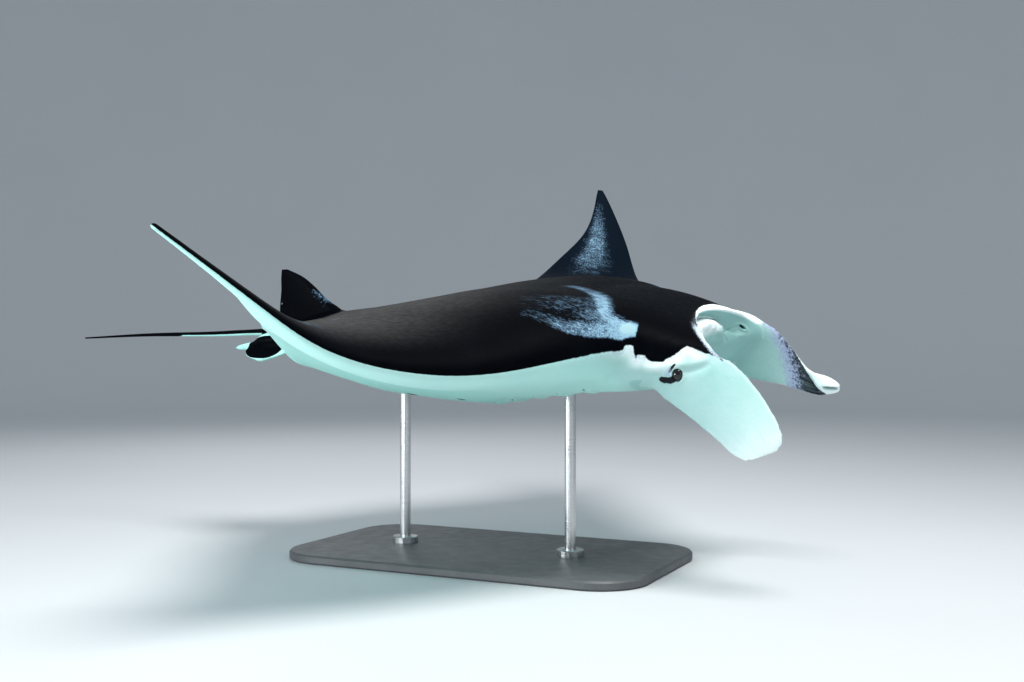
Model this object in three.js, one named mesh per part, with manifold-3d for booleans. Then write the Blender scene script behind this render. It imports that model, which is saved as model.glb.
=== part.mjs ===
// A still, life-size reef manta ray, cruising, held over the floor by a plain display stand.
// The animal is modelled in its own frame: +X towards the snout, +Y to its left, +Z to its back, with the origin in
// the middle of the disc. Its lengths are fractions of the disc width. The whole animal then sits in one group that
// banks it on the stand. The part's frame is millimetres, +Z up, with the origin in the middle of the base's underside.
import * as THREE from "three";
import { mergeVertices } from "three/addons/utils/BufferGeometryUtils.js";
import Module from "manifold-3d";

const wasm = await Module();
wasm.setup();

// ---------------------------------------------------------------- driving dimensions
const DISC_WIDTH = 3200; // wing tip to wing tip along the skin, mm
const BANK = 8.2; // degrees, right side low
const NOSE_DOWN = 0.4; // degrees
const CENTRE_HEIGHT = 760; // middle of the disc above the floor, mm
const CENTRE_X = 20; // middle of the disc ahead of the middle of the base, mm
const CENTRE_Y = -20;
const PART_GAP = 0.6; // width of the cuts between the named parts, mm

const BASE_LENGTH = 1300, // stand base, mm
  BASE_WIDTH = 760,
  BASE_THICK = 30,
  BASE_CORNER = 160,
  BASE_CHAMFER = 6;
const ROD_RADIUS = 19, // stand rods, mm
  ROD_FRONT_X = 300,
  ROD_REAR_X = -340,
  ROD_SOCKET = 30, // how far a rod reaches into the belly
  ROD_CLEARANCE = 0.5,
  COLLAR_RADIUS = 46,
  COLLAR_HEIGHT = 22;

const EYE_RADIUS = 0.0072, // of the disc width
  EYE_X = 0.2385,
  EYE_Y = 0.101,
  EYE_Z = -0.0178,
  EYE_CLEARANCE = 0.5; // mm, between eyeball and socket

// ---------------------------------------------------------------- small maths
const { PI, sin, cos, sqrt, abs, sign, min, max } = Math;
const rad = (d) => (d * PI) / 180;
const clamp = (x, a, b) => min(b, max(a, x));
const step = (a, b, x) => {
  const t = clamp((x - a) / (b - a), 0, 1);
  return t * t * (3 - 2 * t);
};
const power = (x, p) => sign(x) * abs(x) ** p;
// A smooth curve through stations: station positions, values at them.
function through(xs, ys) {
  const n = xs.length;
  const d = ys.slice(1).map((y, i) => (y - ys[i]) / (xs[i + 1] - xs[i]));
  const h = xs.slice(1).map((x, i) => x - xs[i]);
  const m = ys.map((_, i) =>
    i === 0
      ? d[0]
      : i === n - 1
        ? d[n - 2]
        : (d[i - 1] * h[i] + d[i] * h[i - 1]) / (h[i] + h[i - 1]),
  );
  return (x) => {
    x = clamp(x, xs[0], xs[n - 1]);
    let i = 0;
    while (i < n - 2 && x >= xs[i + 1]) i++;
    const t = (x - xs[i]) / h[i];
    return (
      (1 + 2 * t) * (1 - t) ** 2 * ys[i] +
      t * (1 - t) ** 2 * h[i] * m[i] +
      t * t * (3 - 2 * t) * ys[i + 1] +
      t * t * (t - 1) * h[i] * m[i + 1]
    );
  };
}
const range = (n, f) => Array.from({ length: n }, (_, i) => f(i));

// ---------------------------------------------------------------- solids
function solid(points, triangles) {
  const g = new THREE.BufferGeometry();
  g.setAttribute("position", new THREE.Float32BufferAttribute(points.flat(), 3));
  g.setIndex(triangles.flat());
  const merged = mergeVertices(g, 1e-4);
  const tri = merged.index.array;
  const kept = [];
  for (let i = 0; i < tri.length; i += 3)
    if (tri[i] !== tri[i + 1] && tri[i + 1] !== tri[i + 2] && tri[i] !== tri[i + 2])
      kept.push(tri[i], tri[i + 1], tri[i + 2]);
  const make = (list) =>
    new wasm.Manifold(
      new wasm.Mesh({
        numProp: 3,
        vertProperties: new Float32Array(merged.attributes.position.array),
        triVerts: new Uint32Array(list),
      }),
    );
  const s = make(kept);
  if (s.volume() > 0) return s;
  const turned = kept.slice();
  for (let i = 0; i < turned.length; i += 3)
    [turned[i + 1], turned[i + 2]] = [turned[i + 2], turned[i + 1]];
  return make(turned);
}
// A closed body through a row of rings, each a loop of the same number of points, in fractions of the disc width.
function loft(rings) {
  const m = rings[0].length;
  const pts = rings.flat().map((p) => p.map((c) => c * DISC_WIDTH));
  const tris = [];
  for (let i = 0; i + 1 < rings.length; i++)
    for (let j = 0; j < m; j++) {
      const k = (j + 1) % m,
        a = i * m + j,
        b = i * m + k,
        c = (i + 1) * m + k,
        d = (i + 1) * m + j;
      tris.push([a, b, c], [a, c, d]);
    }
  const middle = (ring) =>
    [0, 1, 2].map((q) => (ring.reduce((t, p) => t + p[q], 0) / m) * DISC_WIDTH);
  const first = pts.push(middle(rings[0])) - 1;
  const last = pts.push(middle(rings[rings.length - 1])) - 1;
  const o = (rings.length - 1) * m;
  for (let j = 0; j < m; j++) {
    const k = (j + 1) % m;
    tris.push([first, k, j], [last, o + j, o + k]);
  }
  return solid(pts, tris);
}
// A box from corner to corner, in fractions of the disc width, moved by an optional matrix.
function box(lo, hi, matrix) {
  const size = [0, 1, 2].map((q) => (hi[q] - lo[q]) * DISC_WIDTH);
  const g = new THREE.BoxGeometry(...size);
  g.translate(...[0, 1, 2].map((q) => ((hi[q] + lo[q]) / 2) * DISC_WIDTH));
  if (matrix) g.applyMatrix4(matrix);
  return fromGeometry(g);
}
function fromGeometry(g) {
  g = g.clone();
  g.deleteAttribute("normal");
  g.deleteAttribute("uv");
  const merged = mergeVertices(g, 1e-4);
  const p = merged.attributes.position,
    ix = merged.index.array;
  return solid(
    range(p.count, (i) => [p.getX(i), p.getY(i), p.getZ(i)]),
    range(ix.length / 3, (i) => [ix[3 * i], ix[3 * i + 1], ix[3 * i + 2]]),
  );
}

// ---------------------------------------------------------------- the disc: body and wings in one
// Stations run along the span from the midline, 0, to a wing tip, 0.5.
const SPAN = [0, 0.06, 0.12, 0.2, 0.28, 0.36, 0.42, 0.47, 0.49, 0.5];
const leading = through(SPAN, [0.208, 0.206, 0.1873, 0.1393, 0.0906, 0.0382, 0.0087, -0.0199, -0.0322, -0.0391]);
const trailing = through(SPAN, [-0.252, -0.2326, -0.2001, -0.1514, -0.1005, -0.0674, -0.0481, -0.0455, -0.0465, -0.0465]);
// The wing beat: how far each wing is bent up and twisted, in degrees, along the span.
const BEAT = [0, 0.1, 0.2, 0.3, 0.4, 0.5];
const bend = {
  right: through(BEAT, [0, 7.4, 2.0, 17.2, 40.2, 46.3]),
  left: through(BEAT, [0, 3.5, -0.8, 15.6, 44.8, 58.3]),
};
const twist = {
  right: through(BEAT, [0, -0.3, -6.4, -15.4, -27.7, -30.0]),
  left: through(BEAT, [0, -0.4, -6.2, -7.8, -27.8, -27.3]),
};
const THICK = [0, 0.05, 0.1, 0.15, 0.2, 0.25, 0.3, 0.35, 0.4, 0.45, 0.5];
const above = through(THICK, [0.057, 0.0552, 0.0522, 0.0418, 0.0306, 0.0229, 0.0162, 0.0094, 0.0047, 0.0024, 0.0012]);
const below = through(THICK, [0.064, 0.0597, 0.052, 0.04, 0.0288, 0.0214, 0.0155, 0.0101, 0.0053, 0.0027, 0.0012]);
// Height along the chord, from the leading edge, 0, to the trailing edge, 1.
const CHORD = [0, 0.04, 0.1, 0.2, 0.3, 0.4, 0.5, 0.6, 0.7, 0.8, 0.9, 0.96, 1];
const back = through(CHORD, [0, 0.49, 0.73, 0.92, 0.995, 0.967, 0.886, 0.765, 0.645, 0.535, 0.44, 0.28, 0]);
const belly = through(CHORD, [0, 0.41, 0.62, 0.79, 0.9, 1.02, 1.01, 0.955, 0.875, 0.7, 0.5, 0.36, 0]);
const EDGE = 0.0012; // half the thickness of the thinnest edge
const foil = (c) =>
  (0.2969 * sqrt(c) - 0.126 * c - 0.3516 * c ** 2 + 0.2843 * c ** 3 - 0.1036 * c ** 4) / 0.1;

const SPAN_STEPS = 200;
function spanTable(bendOf, side) {
  const ds = 0.5 / SPAN_STEPS,
    y = [0],
    z = [0];
  for (let i = 1; i <= SPAN_STEPS; i++) {
    const a = rad(bendOf((i - 1) * ds)),
      b = rad(bendOf(i * ds));
    y.push(y[i - 1] + (side * (cos(a) + cos(b)) * ds) / 2);
    z.push(z[i - 1] + ((sin(a) + sin(b)) * ds) / 2);
  }
  const read = (t) => (s) => {
    const q = clamp(s / ds, 0, SPAN_STEPS),
      i = min(SPAN_STEPS - 1, Math.floor(q));
    return t[i] + (t[i + 1] - t[i]) * (q - i);
  };
  return { y: read(y), z: read(z) };
}
const span = { right: spanTable(bend.right, -1), left: spanTable(bend.left, 1) };
// From a place on the flat disc, span s, length x and height h off the middle surface, to the beating animal.
function discPoint(s, x, h) {
  const side = s >= 0 ? "left" : "right",
    sd = s >= 0 ? 1 : -1,
    a = abs(s);
  const th = rad(bend[side](a)),
    ph = rad(twist[side](a));
  const le = leading(a),
    axis = le - 0.35 * (le - trailing(a)),
    d = x - axis;
  const k = d * sin(ph) + h * cos(ph);
  return [
    axis + d * cos(ph) - h * sin(ph),
    span[side].y(a) - k * sd * sin(th),
    span[side].z(a) + k * cos(th),
  ];
}
function disc(stations, around) {
  return loft(
    range(stations, (i) => {
      const e = -1 + (2 * i) / (stations - 1);
      const s = 0.5 * sign(e) * (1 - (1 - abs(e)) ** 1.25),
        a = abs(s);
      const body = 1 - step(0.02, 0.2, a);
      return range(around, (j) => {
        const al = (2 * PI * j) / around,
          c = (1 - cos(al)) / 2;
        const edge = EDGE * sqrt(max(0, 1 - abs(2 * c - 1) ** 10));
        const up = above(a) * ((1 - body) * foil(c) + body * back(c)) + edge;
        const down = below(a) * ((1 - body) * foil(c) + body * belly(c)) + edge;
        const h = j === 0 || 2 * j === around ? 0 : al < PI ? up : -down;
        const le = leading(a);
        return discPoint(s, le - c * (le - trailing(a)), h);
      });
    }),
  );
}

// ---------------------------------------------------------------- the head
const HEAD_X = [0.07, 0.1, 0.13, 0.15, 0.2, 0.235, 0.255, 0.27, 0.285];
const headHalfWidth = through(HEAD_X, [0.085, 0.1, 0.109, 0.112, 0.1115, 0.107, 0.099, 0.089, 0.08]);
const headMiddle = through(HEAD_X, [0, -0.001, -0.002, -0.003, -0.008, -0.012, -0.0085, -0.006, -0.004]);
const headTop = through(HEAD_X, [0.04, 0.0505, 0.054, 0.054, 0.0485, 0.0395, 0.028, 0.019, 0.0085]);
const headUnder = through(HEAD_X, [0.036, 0.0445, 0.0455, 0.0435, 0.0342, 0.024, 0.0165, 0.01, 0.006]);
const MOUTH_HALF_WIDTH = 0.066,
  MOUTH_GAP = 0.0013,
  MOUTH_DEPTH = 0.014;
function head(around, along, front) {
  const us = range(around, (i) => (2 * PI * i) / around);
  const across = (u) => power(cos(u), 2 / 3.2);
  const upper = (u) => sin(u) >= 0;
  const outer = (u, v) => {
    const cy = across(u),
      q = abs(cy),
      up = upper(u);
    const sz = power(sin(u), up ? 2 / 3.6 : 2 / 2.6);
    const end = up ? 0.2345 + 0.039 * q ** 2 : 0.203 + 0.0703 * q ** 2.2;
    const x = HEAD_X[0] + (end - HEAD_X[0]) * v;
    return [
      x,
      headHalfWidth(x) * cy,
      headMiddle(x) + (up ? headTop(x) : headUnder(x)) * sz,
    ];
  };
  const mouth = (u, inward) => {
    const cy = across(u),
      q = abs(cy);
    return [
      0.2275 + 0.01 * q ** 2 - inward,
      MOUTH_HALF_WIDTH * cy,
      0.0195 - 0.006 * q ** 2 - 0.019 * q ** 4 + (upper(u) ? 1 : -1) * MOUTH_GAP * (1 - q ** 4),
    ];
  };
  const rings = range(along, (i) => us.map((u) => outer(u, sin((i / (along - 1)) * (PI / 2)))));
  for (let i = 1; i <= front; i++) {
    const w = i / front;
    rings.push(
      us.map((u) => {
        const a = outer(u, 1),
          b = mouth(u, 0),
          q = abs(across(u));
        const swell = upper(u) ? -0.004 * sin(PI * w) : 0.012 * sin(PI * w) * (1 - q ** 2);
        return a.map((c, k) => c * (1 - w) + b[k] * w + (k === 0 ? swell : 0));
      }),
    );
  }
  for (const d of [0.5, 1]) rings.push(us.map((u) => mouth(u, MOUTH_DEPTH * d)));
  return loft(rings);
}

// ---------------------------------------------------------------- the cephalic fins
// Each is a paddle between an upper and a lower edge, from inside the head, 0, to its free end, 1.
const PADDLE = [0, 0.25, 0.45, 0.65, 0.82, 1];
const PADDLE_LEFT = [0, 0.25, 0.45, 0.65, 0.78, 0.82, 0.9, 1];
const edgeCurve = (at, rows) => {
  const f = [0, 1, 2].map((q) => through(at, rows.map((r) => r[q])));
  return (t) => f.map((g) => g(t));
};
const cephalic = {
  right: {
    upper: edgeCurve(PADDLE, [[0.25, -0.08, 0.0105], [0.2764, -0.089, -0.001], [0.2975, -0.0945, -0.0165], [0.317, -0.1, -0.039], [0.3303, -0.1052, -0.06], [0.3368, -0.1085, -0.0812]]),
    lower: edgeCurve(PADDLE, [[0.19, -0.086, -0.023], [0.2105, -0.098, -0.0336], [0.2325, -0.1018, -0.0472], [0.2535, -0.1045, -0.0618], [0.275, -0.1073, -0.0783], [0.2962, -0.1096, -0.0973]]),
    curl: through(PADDLE, [0, 14, 20, 24, 26, 30]),
    thick: through(PADDLE, [0.024, 0.019, 0.013, 0.0105, 0.008, 0.0055]),
    narrow: 0.42,
  },
  left: {
    upper: edgeCurve(PADDLE_LEFT, [[0.235, 0.08, 0.022], [0.2616, 0.09, 0.0145], [0.2842, 0.0945, -0.0034], [0.3015, 0.0973, -0.0262], [0.3145, 0.0995, -0.0444], [0.3194, 0.1, -0.0479], [0.3311, 0.1, -0.0512], [0.3463, 0.1, -0.0568]]),
    lower: edgeCurve(PADDLE_LEFT, [[0.19, 0.086, -0.023], [0.22, 0.096, -0.044], [0.256, 0.096, -0.056], [0.2865, 0.0962, -0.0617], [0.3086, 0.0976, -0.0682], [0.3136, 0.0982, -0.0698], [0.3246, 0.0995, -0.0724], [0.346, 0.1, -0.0712]]),
    curl: through(PADDLE_LEFT, [0, 14, 22, 30, 34, 34, 34, 30]),
    thick: through(PADDLE_LEFT, [0.024, 0.019, 0.013, 0.01, 0.008, 0.0078, 0.0075, 0.006]),
    narrow: 0.6,
  },
};
// The left fin's end is rolled in over its inner face: how much of the width the roll covers, and how far it stands up.
const flapWidth = through([0.6, 0.68, 0.76, 0.83, 0.875, 0.935, 1], [0, 0.03, 0.1, 0.3, 0.65, 0.92, 1.15]);
const flapRise = through([0.6, 0.7, 0.8, 0.9, 1], [0, 0.0008, 0.003, 0.0052, 0.004]);
function cephalicFin(which, along, around) {
  const f = cephalic[which],
    sd = which === "left" ? 1 : -1,
    n = around / 2;
  const ts = [...range(along - 5, (i) => (0.9 * i) / (along - 6)), 0.935, 0.963, 0.983, 0.995, 1];
  return loft(
    ts.map((t) => {
      const top = new THREE.Vector3(...f.upper(t)),
        bottom = new THREE.Vector3(...f.lower(t));
      const wide = top.clone().sub(bottom),
        length = wide.length();
      wide.normalize();
      const mid = (q) => new THREE.Vector3(...f.upper(q)).add(new THREE.Vector3(...f.lower(q)));
      const ahead = mid(min(1, t + 1e-3)).sub(mid(max(0, t - 1e-3))).normalize();
      const inward = ahead.clone().cross(wide).normalize();
      if (inward.y * -sd < 0) inward.negate();
      const curl = rad(f.curl(t));
      const angle = range(n + 1, (i) => curl * (i / n - 0.5));
      const w = [0],
        d = [0];
      for (let i = 1; i <= n; i++) {
        w.push(w[i - 1] + ((cos(angle[i]) + cos(angle[i - 1])) / 2) * (length / n));
        d.push(d[i - 1] + ((sin(angle[i]) + sin(angle[i - 1])) / 2) * (length / n));
      }
      const meanD = d.reduce((p, q) => p + q, 0) / (n + 1);
      const end = max(0, (t - 0.9) / 0.1),
        round = sqrt(max(0, 1 - end * end)),
        narrow = 1 - f.narrow * (1 - round);
      const swell = (i) => max(0, sin((PI * i) / n)) ** 0.45 * max(round, 0.12);
      const point = (i, face) => {
        const roll = which === "left" && face > 0 ? flapRise(t) * step(-0.1, 0.06, i / n - 1 + flapWidth(t)) : 0;
        const h = (f.thick(t) / 2 + roll) * swell(i);
        return bottom
          .clone()
          .addScaledVector(wide, (w[i] - w[n] / 2) * narrow + length / 2 - face * sin(angle[i]) * h)
          .addScaledVector(inward, d[i] - meanD + face * cos(angle[i]) * h)
          .toArray();
      };
      return [
        ...range(n + 1, (i) => point(i, 1)),
        ...range(n - 1, (i) => point(n - 1 - i, -1)),
      ];
    }),
  );
}

// ---------------------------------------------------------------- the small fins and the tail
const finFront = through([0, 0.305, 0.463, 0.719, 0.895, 1], [-0.172, -0.1926, -0.2088, -0.2271, -0.244, -0.261]);
const finRear = through([0, 0.34, 0.648, 0.886, 1], [-0.2775, -0.2759, -0.2721, -0.2706, -0.269]);
const FIN_FOOT = 0.012,
  FIN_HEIGHT = 0.0665;
function dorsalFin(along, around) {
  const vs = [...range(along - 3, (i) => (0.9 * i) / (along - 4)), 0.95, 0.985, 1];
  return loft(
    vs.map((v) => {
      const front = finFront(v),
        rear = finRear(v),
        half = 0.0052 * (1 - v) ** 0.7 + 0.0009;
      return range(around, (j) => {
        const al = (2 * PI * j) / around,
          c = (1 - cos(al)) / 2;
        const y = half * (foil(c) + 0.15 * sqrt(max(0, 1 - (2 * c - 1) ** 8)));
        return [
          front + (rear - front) * c,
          j === 0 || 2 * j === around ? 0 : al < PI ? y : -y,
          FIN_FOOT + FIN_HEIGHT * v,
        ];
      });
    }),
  );
}
function pelvicFin(sd, along, around) {
  return loft(
    range(along, (i) => {
      const v = i / (along - 1);
      const centre = [-0.262 - 0.02 * v, sd * (0.006 + 0.032 * v), 0.002 - 0.0255 * v ** 1.15];
      const half = (0.036 - 0.005 * v) * sqrt(max(0.02, 1 - max(0, (v - 0.45) / 0.55) ** 2.6));
      const thick = 0.008 * (1 - v) ** 0.8 + 0.0014;
      return range(around, (j) => {
        const al = (2 * PI * j) / around,
          c = cos(al);
        const off = thick * power(sin(al), 0.8) + 0.0045 * c * c * v;
        return [centre[0] + half * c, centre[1] + sd * 0.7 * off, centre[2] + 0.714 * off];
      });
    }),
  );
}
function clasper(sd, along, around) {
  return loft(
    range(along, (i) => {
      const v = i / (along - 1);
      const r = 0.006 * sqrt(max(0.015, 1 - (max(0, v - 0.45) / 0.56) ** 2));
      return range(around, (j) => {
        const al = (2 * PI * j) / around;
        return [-0.255 - 0.073 * v, sd * (0.023 - 0.002 * v) + r * cos(al), -0.003 - 0.008 * v + 0.8 * r * sin(al)];
      });
    }),
  );
}
// The tail starts as a stalk inside the rump and thins to a whip.
const TAIL_START = -0.16,
  TAIL_LENGTH = 0.425;
const tailHeight = through([0, 0.2, 0.33, 0.5, 0.75, 1], [0.004, 0.0046, 0.005, 0.0025, 0.0006, -0.004]);
const tailRadius = through([0, 0.1, 0.19, 0.26, 0.33, 0.45, 0.7, 1], [0.026, 0.0225, 0.0165, 0.01, 0.0054, 0.004, 0.0026, 0.0011]);
function tail(along, around) {
  return loft(
    range(along, (i) => {
      const v = i / (along - 1),
        r = tailRadius(v);
      return range(around, (j) => {
        const al = (2 * PI * j) / around;
        return [TAIL_START - TAIL_LENGTH * v, 1.1 * r * cos(al), tailHeight(v) + 0.85 * r * sin(al)];
      });
    }),
  );
}
function ball(sd, grow) {
  const g = new THREE.SphereGeometry(EYE_RADIUS * DISC_WIDTH + grow, 16, 10);
  g.translate(EYE_X * DISC_WIDTH, sd * EYE_Y * DISC_WIDTH, EYE_Z * DISC_WIDTH);
  return fromGeometry(g);
}

// ---------------------------------------------------------------- the stand, in the part's frame
const animal = new THREE.Group();
animal.rotation.set(rad(BANK), rad(NOSE_DOWN), 0, "XYZ");
animal.position.set(CENTRE_X, CENTRE_Y, CENTRE_HEIGHT);
animal.updateMatrix();
const intoAnimal = animal.matrix.clone().invert();

function baseGeometry() {
  const x = BASE_LENGTH / 2 - BASE_CHAMFER,
    y = BASE_WIDTH / 2 - BASE_CHAMFER,
    r = BASE_CORNER;
  const s = new THREE.Shape();
  s.moveTo(-x + r, -y);
  s.lineTo(x - r, -y);
  s.absarc(x - r, -y + r, r, -PI / 2, 0);
  s.lineTo(x, y - r);
  s.absarc(x - r, y - r, r, 0, PI / 2);
  s.lineTo(-x + r, y);
  s.absarc(-x + r, y - r, r, PI / 2, PI);
  s.lineTo(-x, -y + r);
  s.absarc(-x + r, -y + r, r, PI, 1.5 * PI);
  const g = new THREE.ExtrudeGeometry(s, {
    depth: BASE_THICK - 2 * BASE_CHAMFER,
    bevelEnabled: true,
    bevelThickness: BASE_CHAMFER,
    bevelSize: BASE_CHAMFER,
    bevelSegments: 1,
    curveSegments: 6,
    steps: 1,
  });
  g.translate(0, 0, BASE_CHAMFER);
  return g;
}
function rodProfile(top) {
  const z0 = BASE_THICK + 0.3,
    c = 3;
  return [
    [0, z0],
    [COLLAR_RADIUS, z0],
    [COLLAR_RADIUS, z0 + COLLAR_HEIGHT - c],
    [COLLAR_RADIUS - c, z0 + COLLAR_HEIGHT],
    [ROD_RADIUS, z0 + COLLAR_HEIGHT],
    [ROD_RADIUS, top - c],
    [ROD_RADIUS - c, top],
    [0, top],
  ];
}
function lathe(profile, segments) {
  const g = new THREE.LatheGeometry(profile.map(([r, z]) => new THREE.Vector2(r, z)), segments);
  g.rotateX(PI / 2);
  return g;
}
// How far up a vertical rod at x meets the belly.
function bellyHeight(x) {
  let z = 0;
  for (let i = 0; i < 8; i++) {
    const p = new THREE.Vector3(x, 0, z + CENTRE_HEIGHT).applyMatrix4(intoAnimal);
    const a = abs(p.y) / DISC_WIDTH,
      c = clamp((leading(a) - p.x / DISC_WIDTH) / (leading(a) - trailing(a)), 0, 1);
    const depth = below(a) * belly(c) * DISC_WIDTH;
    z += -depth - p.z;
  }
  return z + CENTRE_HEIGHT;
}

// ---------------------------------------------------------------- the whole animal, then its named parts
let whole = disc(61, 22)
  .add(head(32, 9, 4))
  .add(cephalicFin("right", 13, 14))
  .add(cephalicFin("left", 18, 16))
  .add(dorsalFin(9, 12))
  .add(tail(22, 8));
for (const sd of [-1, 1]) whole = whole.add(pelvicFin(sd, 7, 12)).add(clasper(sd, 5, 8));
for (const sd of [-1, 1]) whole = whole.subtract(ball(sd, EYE_CLEARANCE));

const rods = [
  ["stand_rod_front", ROD_FRONT_X],
  ["stand_rod_rear", ROD_REAR_X],
].map(([name, x]) => {
  const top = bellyHeight(x) + ROD_SOCKET;
  const socket = lathe(
    [
      [0, top - 200],
      [ROD_RADIUS + ROD_CLEARANCE, top - 200],
      [ROD_RADIUS + ROD_CLEARANCE, top + ROD_CLEARANCE],
      [0, top + ROD_CLEARANCE],
    ],
    16,
  );
  socket.translate(x, 0, 0);
  socket.applyMatrix4(intoAnimal);
  whole = whole.subtract(fromGeometry(socket));
  return [name, x, lathe(rodProfile(top), 20)];
});

const g = PART_GAP / 2 / DISC_WIDTH;
const FAR = 0.7;
const HEAD_CUT = 0.15, // behind the eyes
  WING_CUT = 0.118, // beside the body
  WING_MIDDLE = 0.29, // between the inner and outer wing
  FIN_CUT = 0.036, // just above the back
  FIN_CELL = 0.108, // length of the dorsal fin's foot, with room to spare
  PELVIC_CUT = 0.236,
  PELVIC_INNER = 0.0165,
  TAIL_CUTS = [0.252, 0.345, 0.465];
// The root line of the cephalic fins, as a slanting plane.
function cephalicCell(sd) {
  const m = new THREE.Matrix4()
    .makeTranslation(0.2625 * DISC_WIDTH, 0, -0.018 * DISC_WIDTH)
    .multiply(new THREE.Matrix4().makeRotationY(rad(45.5)));
  const y = [0.045, FAR].map((v) => v * sd).sort((a, b) => a - b);
  return box([g, y[0], -FAR], [FAR, y[1], FAR], m);
}
function cephalicGap(sd) {
  const m = new THREE.Matrix4()
    .makeTranslation(0.2625 * DISC_WIDTH, 0, -0.018 * DISC_WIDTH)
    .multiply(new THREE.Matrix4().makeRotationY(rad(45.5)));
  const y = [0.045 - 2 * g, FAR].map((v) => v * sd).sort((a, b) => a - b);
  return box([-g, y[0], -FAR], [FAR, y[1], FAR], m);
}
// The dorsal fin leaves the back along a plane that falls towards the tail.
const finPlane = new THREE.Matrix4()
  .makeTranslation(-0.18 * DISC_WIDTH, 0, FIN_CUT * DISC_WIDTH)
  .multiply(new THREE.Matrix4().makeRotationY(rad(-10)));

const part = {};
part.head = whole
  .intersect(box([HEAD_CUT + g, -WING_CUT + g, -FAR], [FAR, WING_CUT - g, FAR]))
  .subtract(cephalicGap(-1))
  .subtract(cephalicGap(1));
part.cephalic_fin_right = whole.intersect(cephalicCell(-1)).intersect(box([HEAD_CUT, -FAR, -FAR], [FAR, 0, FAR]));
part.cephalic_fin_left = whole.intersect(cephalicCell(1)).intersect(box([HEAD_CUT, 0, -FAR], [FAR, FAR, FAR]));
part.dorsal_fin = whole.intersect(box([-FIN_CELL, -0.03, g], [0, 0.03, 0.1], finPlane));
part.trunk = whole
  .intersect(box([-TAIL_CUTS[0] + g, -WING_CUT + g, -FAR], [HEAD_CUT - g, WING_CUT - g, FAR]))
  .subtract(box([-FIN_CELL - 2 * g, -0.031, -g], [0, 0.031, 0.1], finPlane))
  .subtract(box([-FAR, -FAR, -FAR], [-PELVIC_CUT + g, -PELVIC_INNER + g, FAR]))
  .subtract(box([-FAR, PELVIC_INNER - g, -FAR], [-PELVIC_CUT + g, FAR, FAR]));
for (const [side, sd] of [["right", -1], ["left", 1]]) {
  const cell = (y0, y1, x0, x1) => {
    const y = [y0 * sd, y1 * sd].sort((a, b) => a - b);
    return box([x0, y[0], -FAR], [x1, y[1], FAR]);
  };
  part["pectoral_" + side + "_inner"] = whole.intersect(cell(WING_CUT + g, WING_MIDDLE - g, -FAR, 0.23)).subtract(cephalicGap(sd));
  part["pectoral_" + side + "_outer"] = whole.intersect(cell(WING_MIDDLE + g, FAR, -FAR, 0.23));
  part["pelvic_fin_" + side] = whole.intersect(cell(PELVIC_INNER + g, WING_CUT - g, -FAR, -PELVIC_CUT - g));
}
const tailCell = (x0, x1) =>
  whole.intersect(box([-x1 + g, -PELVIC_INNER + g, -FAR], [-x0 - g, PELVIC_INNER - g, FAR])).subtract(box([-FIN_CELL - 2 * g, -0.031, -g], [0, 0.031, 0.1], finPlane));
part.tail_base = tailCell(TAIL_CUTS[0], TAIL_CUTS[1]);
part.tail_middle = tailCell(TAIL_CUTS[1], TAIL_CUTS[2]);
part.tail_tip = tailCell(TAIL_CUTS[2], FAR);

// The largest body of a cut part, so that a stray sliver is dropped.
const largest = (s) => s.decompose().sort((a, b) => b.volume() - a.volume())[0];
function geometryOf(s) {
  const m = s.getMesh(),
    n = m.numProp,
    v = new Float32Array(m.numVert * 3);
  for (let i = 0; i < m.numVert; i++) v.set(m.vertProperties.subarray(i * n, i * n + 3), i * 3);
  const q = new THREE.BufferGeometry();
  q.setAttribute("position", new THREE.BufferAttribute(v, 3));
  q.setIndex(new THREE.BufferAttribute(m.triVerts.slice(), 1));
  q.computeVertexNormals();
  return q;
}

// ---------------------------------------------------------------- scene graph
const black = () => new THREE.MeshStandardMaterial({ color: 0x0d0f12, roughness: 0.45, metalness: 0 });
const white = () => new THREE.MeshStandardMaterial({ color: 0xe9eeee, roughness: 0.5, metalness: 0 });
const root = new THREE.Group();
root.add(animal);
const pale = new Set(["cephalic_fin_right", "cephalic_fin_left"]);
for (const [name, s] of Object.entries(part)) {
  const mesh = new THREE.Mesh(geometryOf(largest(s)), pale.has(name) ? white() : black());
  mesh.name = name;
  animal.add(mesh);
}
for (const [side, sd] of [["right", -1], ["left", 1]]) {
  const eye = new THREE.Mesh(
    geometryOf(ball(sd, 0)),
    new THREE.MeshStandardMaterial({ color: 0x07080b, roughness: 0.12, metalness: 0 }),
  );
  eye.name = "eye_" + side;
  animal.add(eye);
}
const steel = () => new THREE.MeshStandardMaterial({ color: 0x9a9da1, roughness: 0.35, metalness: 1 });
const base = new THREE.Mesh(baseGeometry(), new THREE.MeshStandardMaterial({ color: 0x2b2d30, roughness: 0.5, metalness: 0.2 }));
base.name = "stand_base";
root.add(base);
for (const [name, x, rod] of rods) {
  const mesh = new THREE.Mesh(rod, steel());
  mesh.name = name;
  mesh.position.set(x, 0, 0);
  root.add(mesh);
}

export default root;
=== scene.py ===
# A life-size reef manta ray on a plain display stand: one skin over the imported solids, eyes, stand, floor, light, camera.
# The animal's own frame has +X to the snout, +Y to its left and +Z to its back, in fractions of the disc width.
import math

import bmesh
import bpy
import numpy as np
from mathutils import Matrix, Vector
from mathutils.bvhtree import BVHTree

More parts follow.
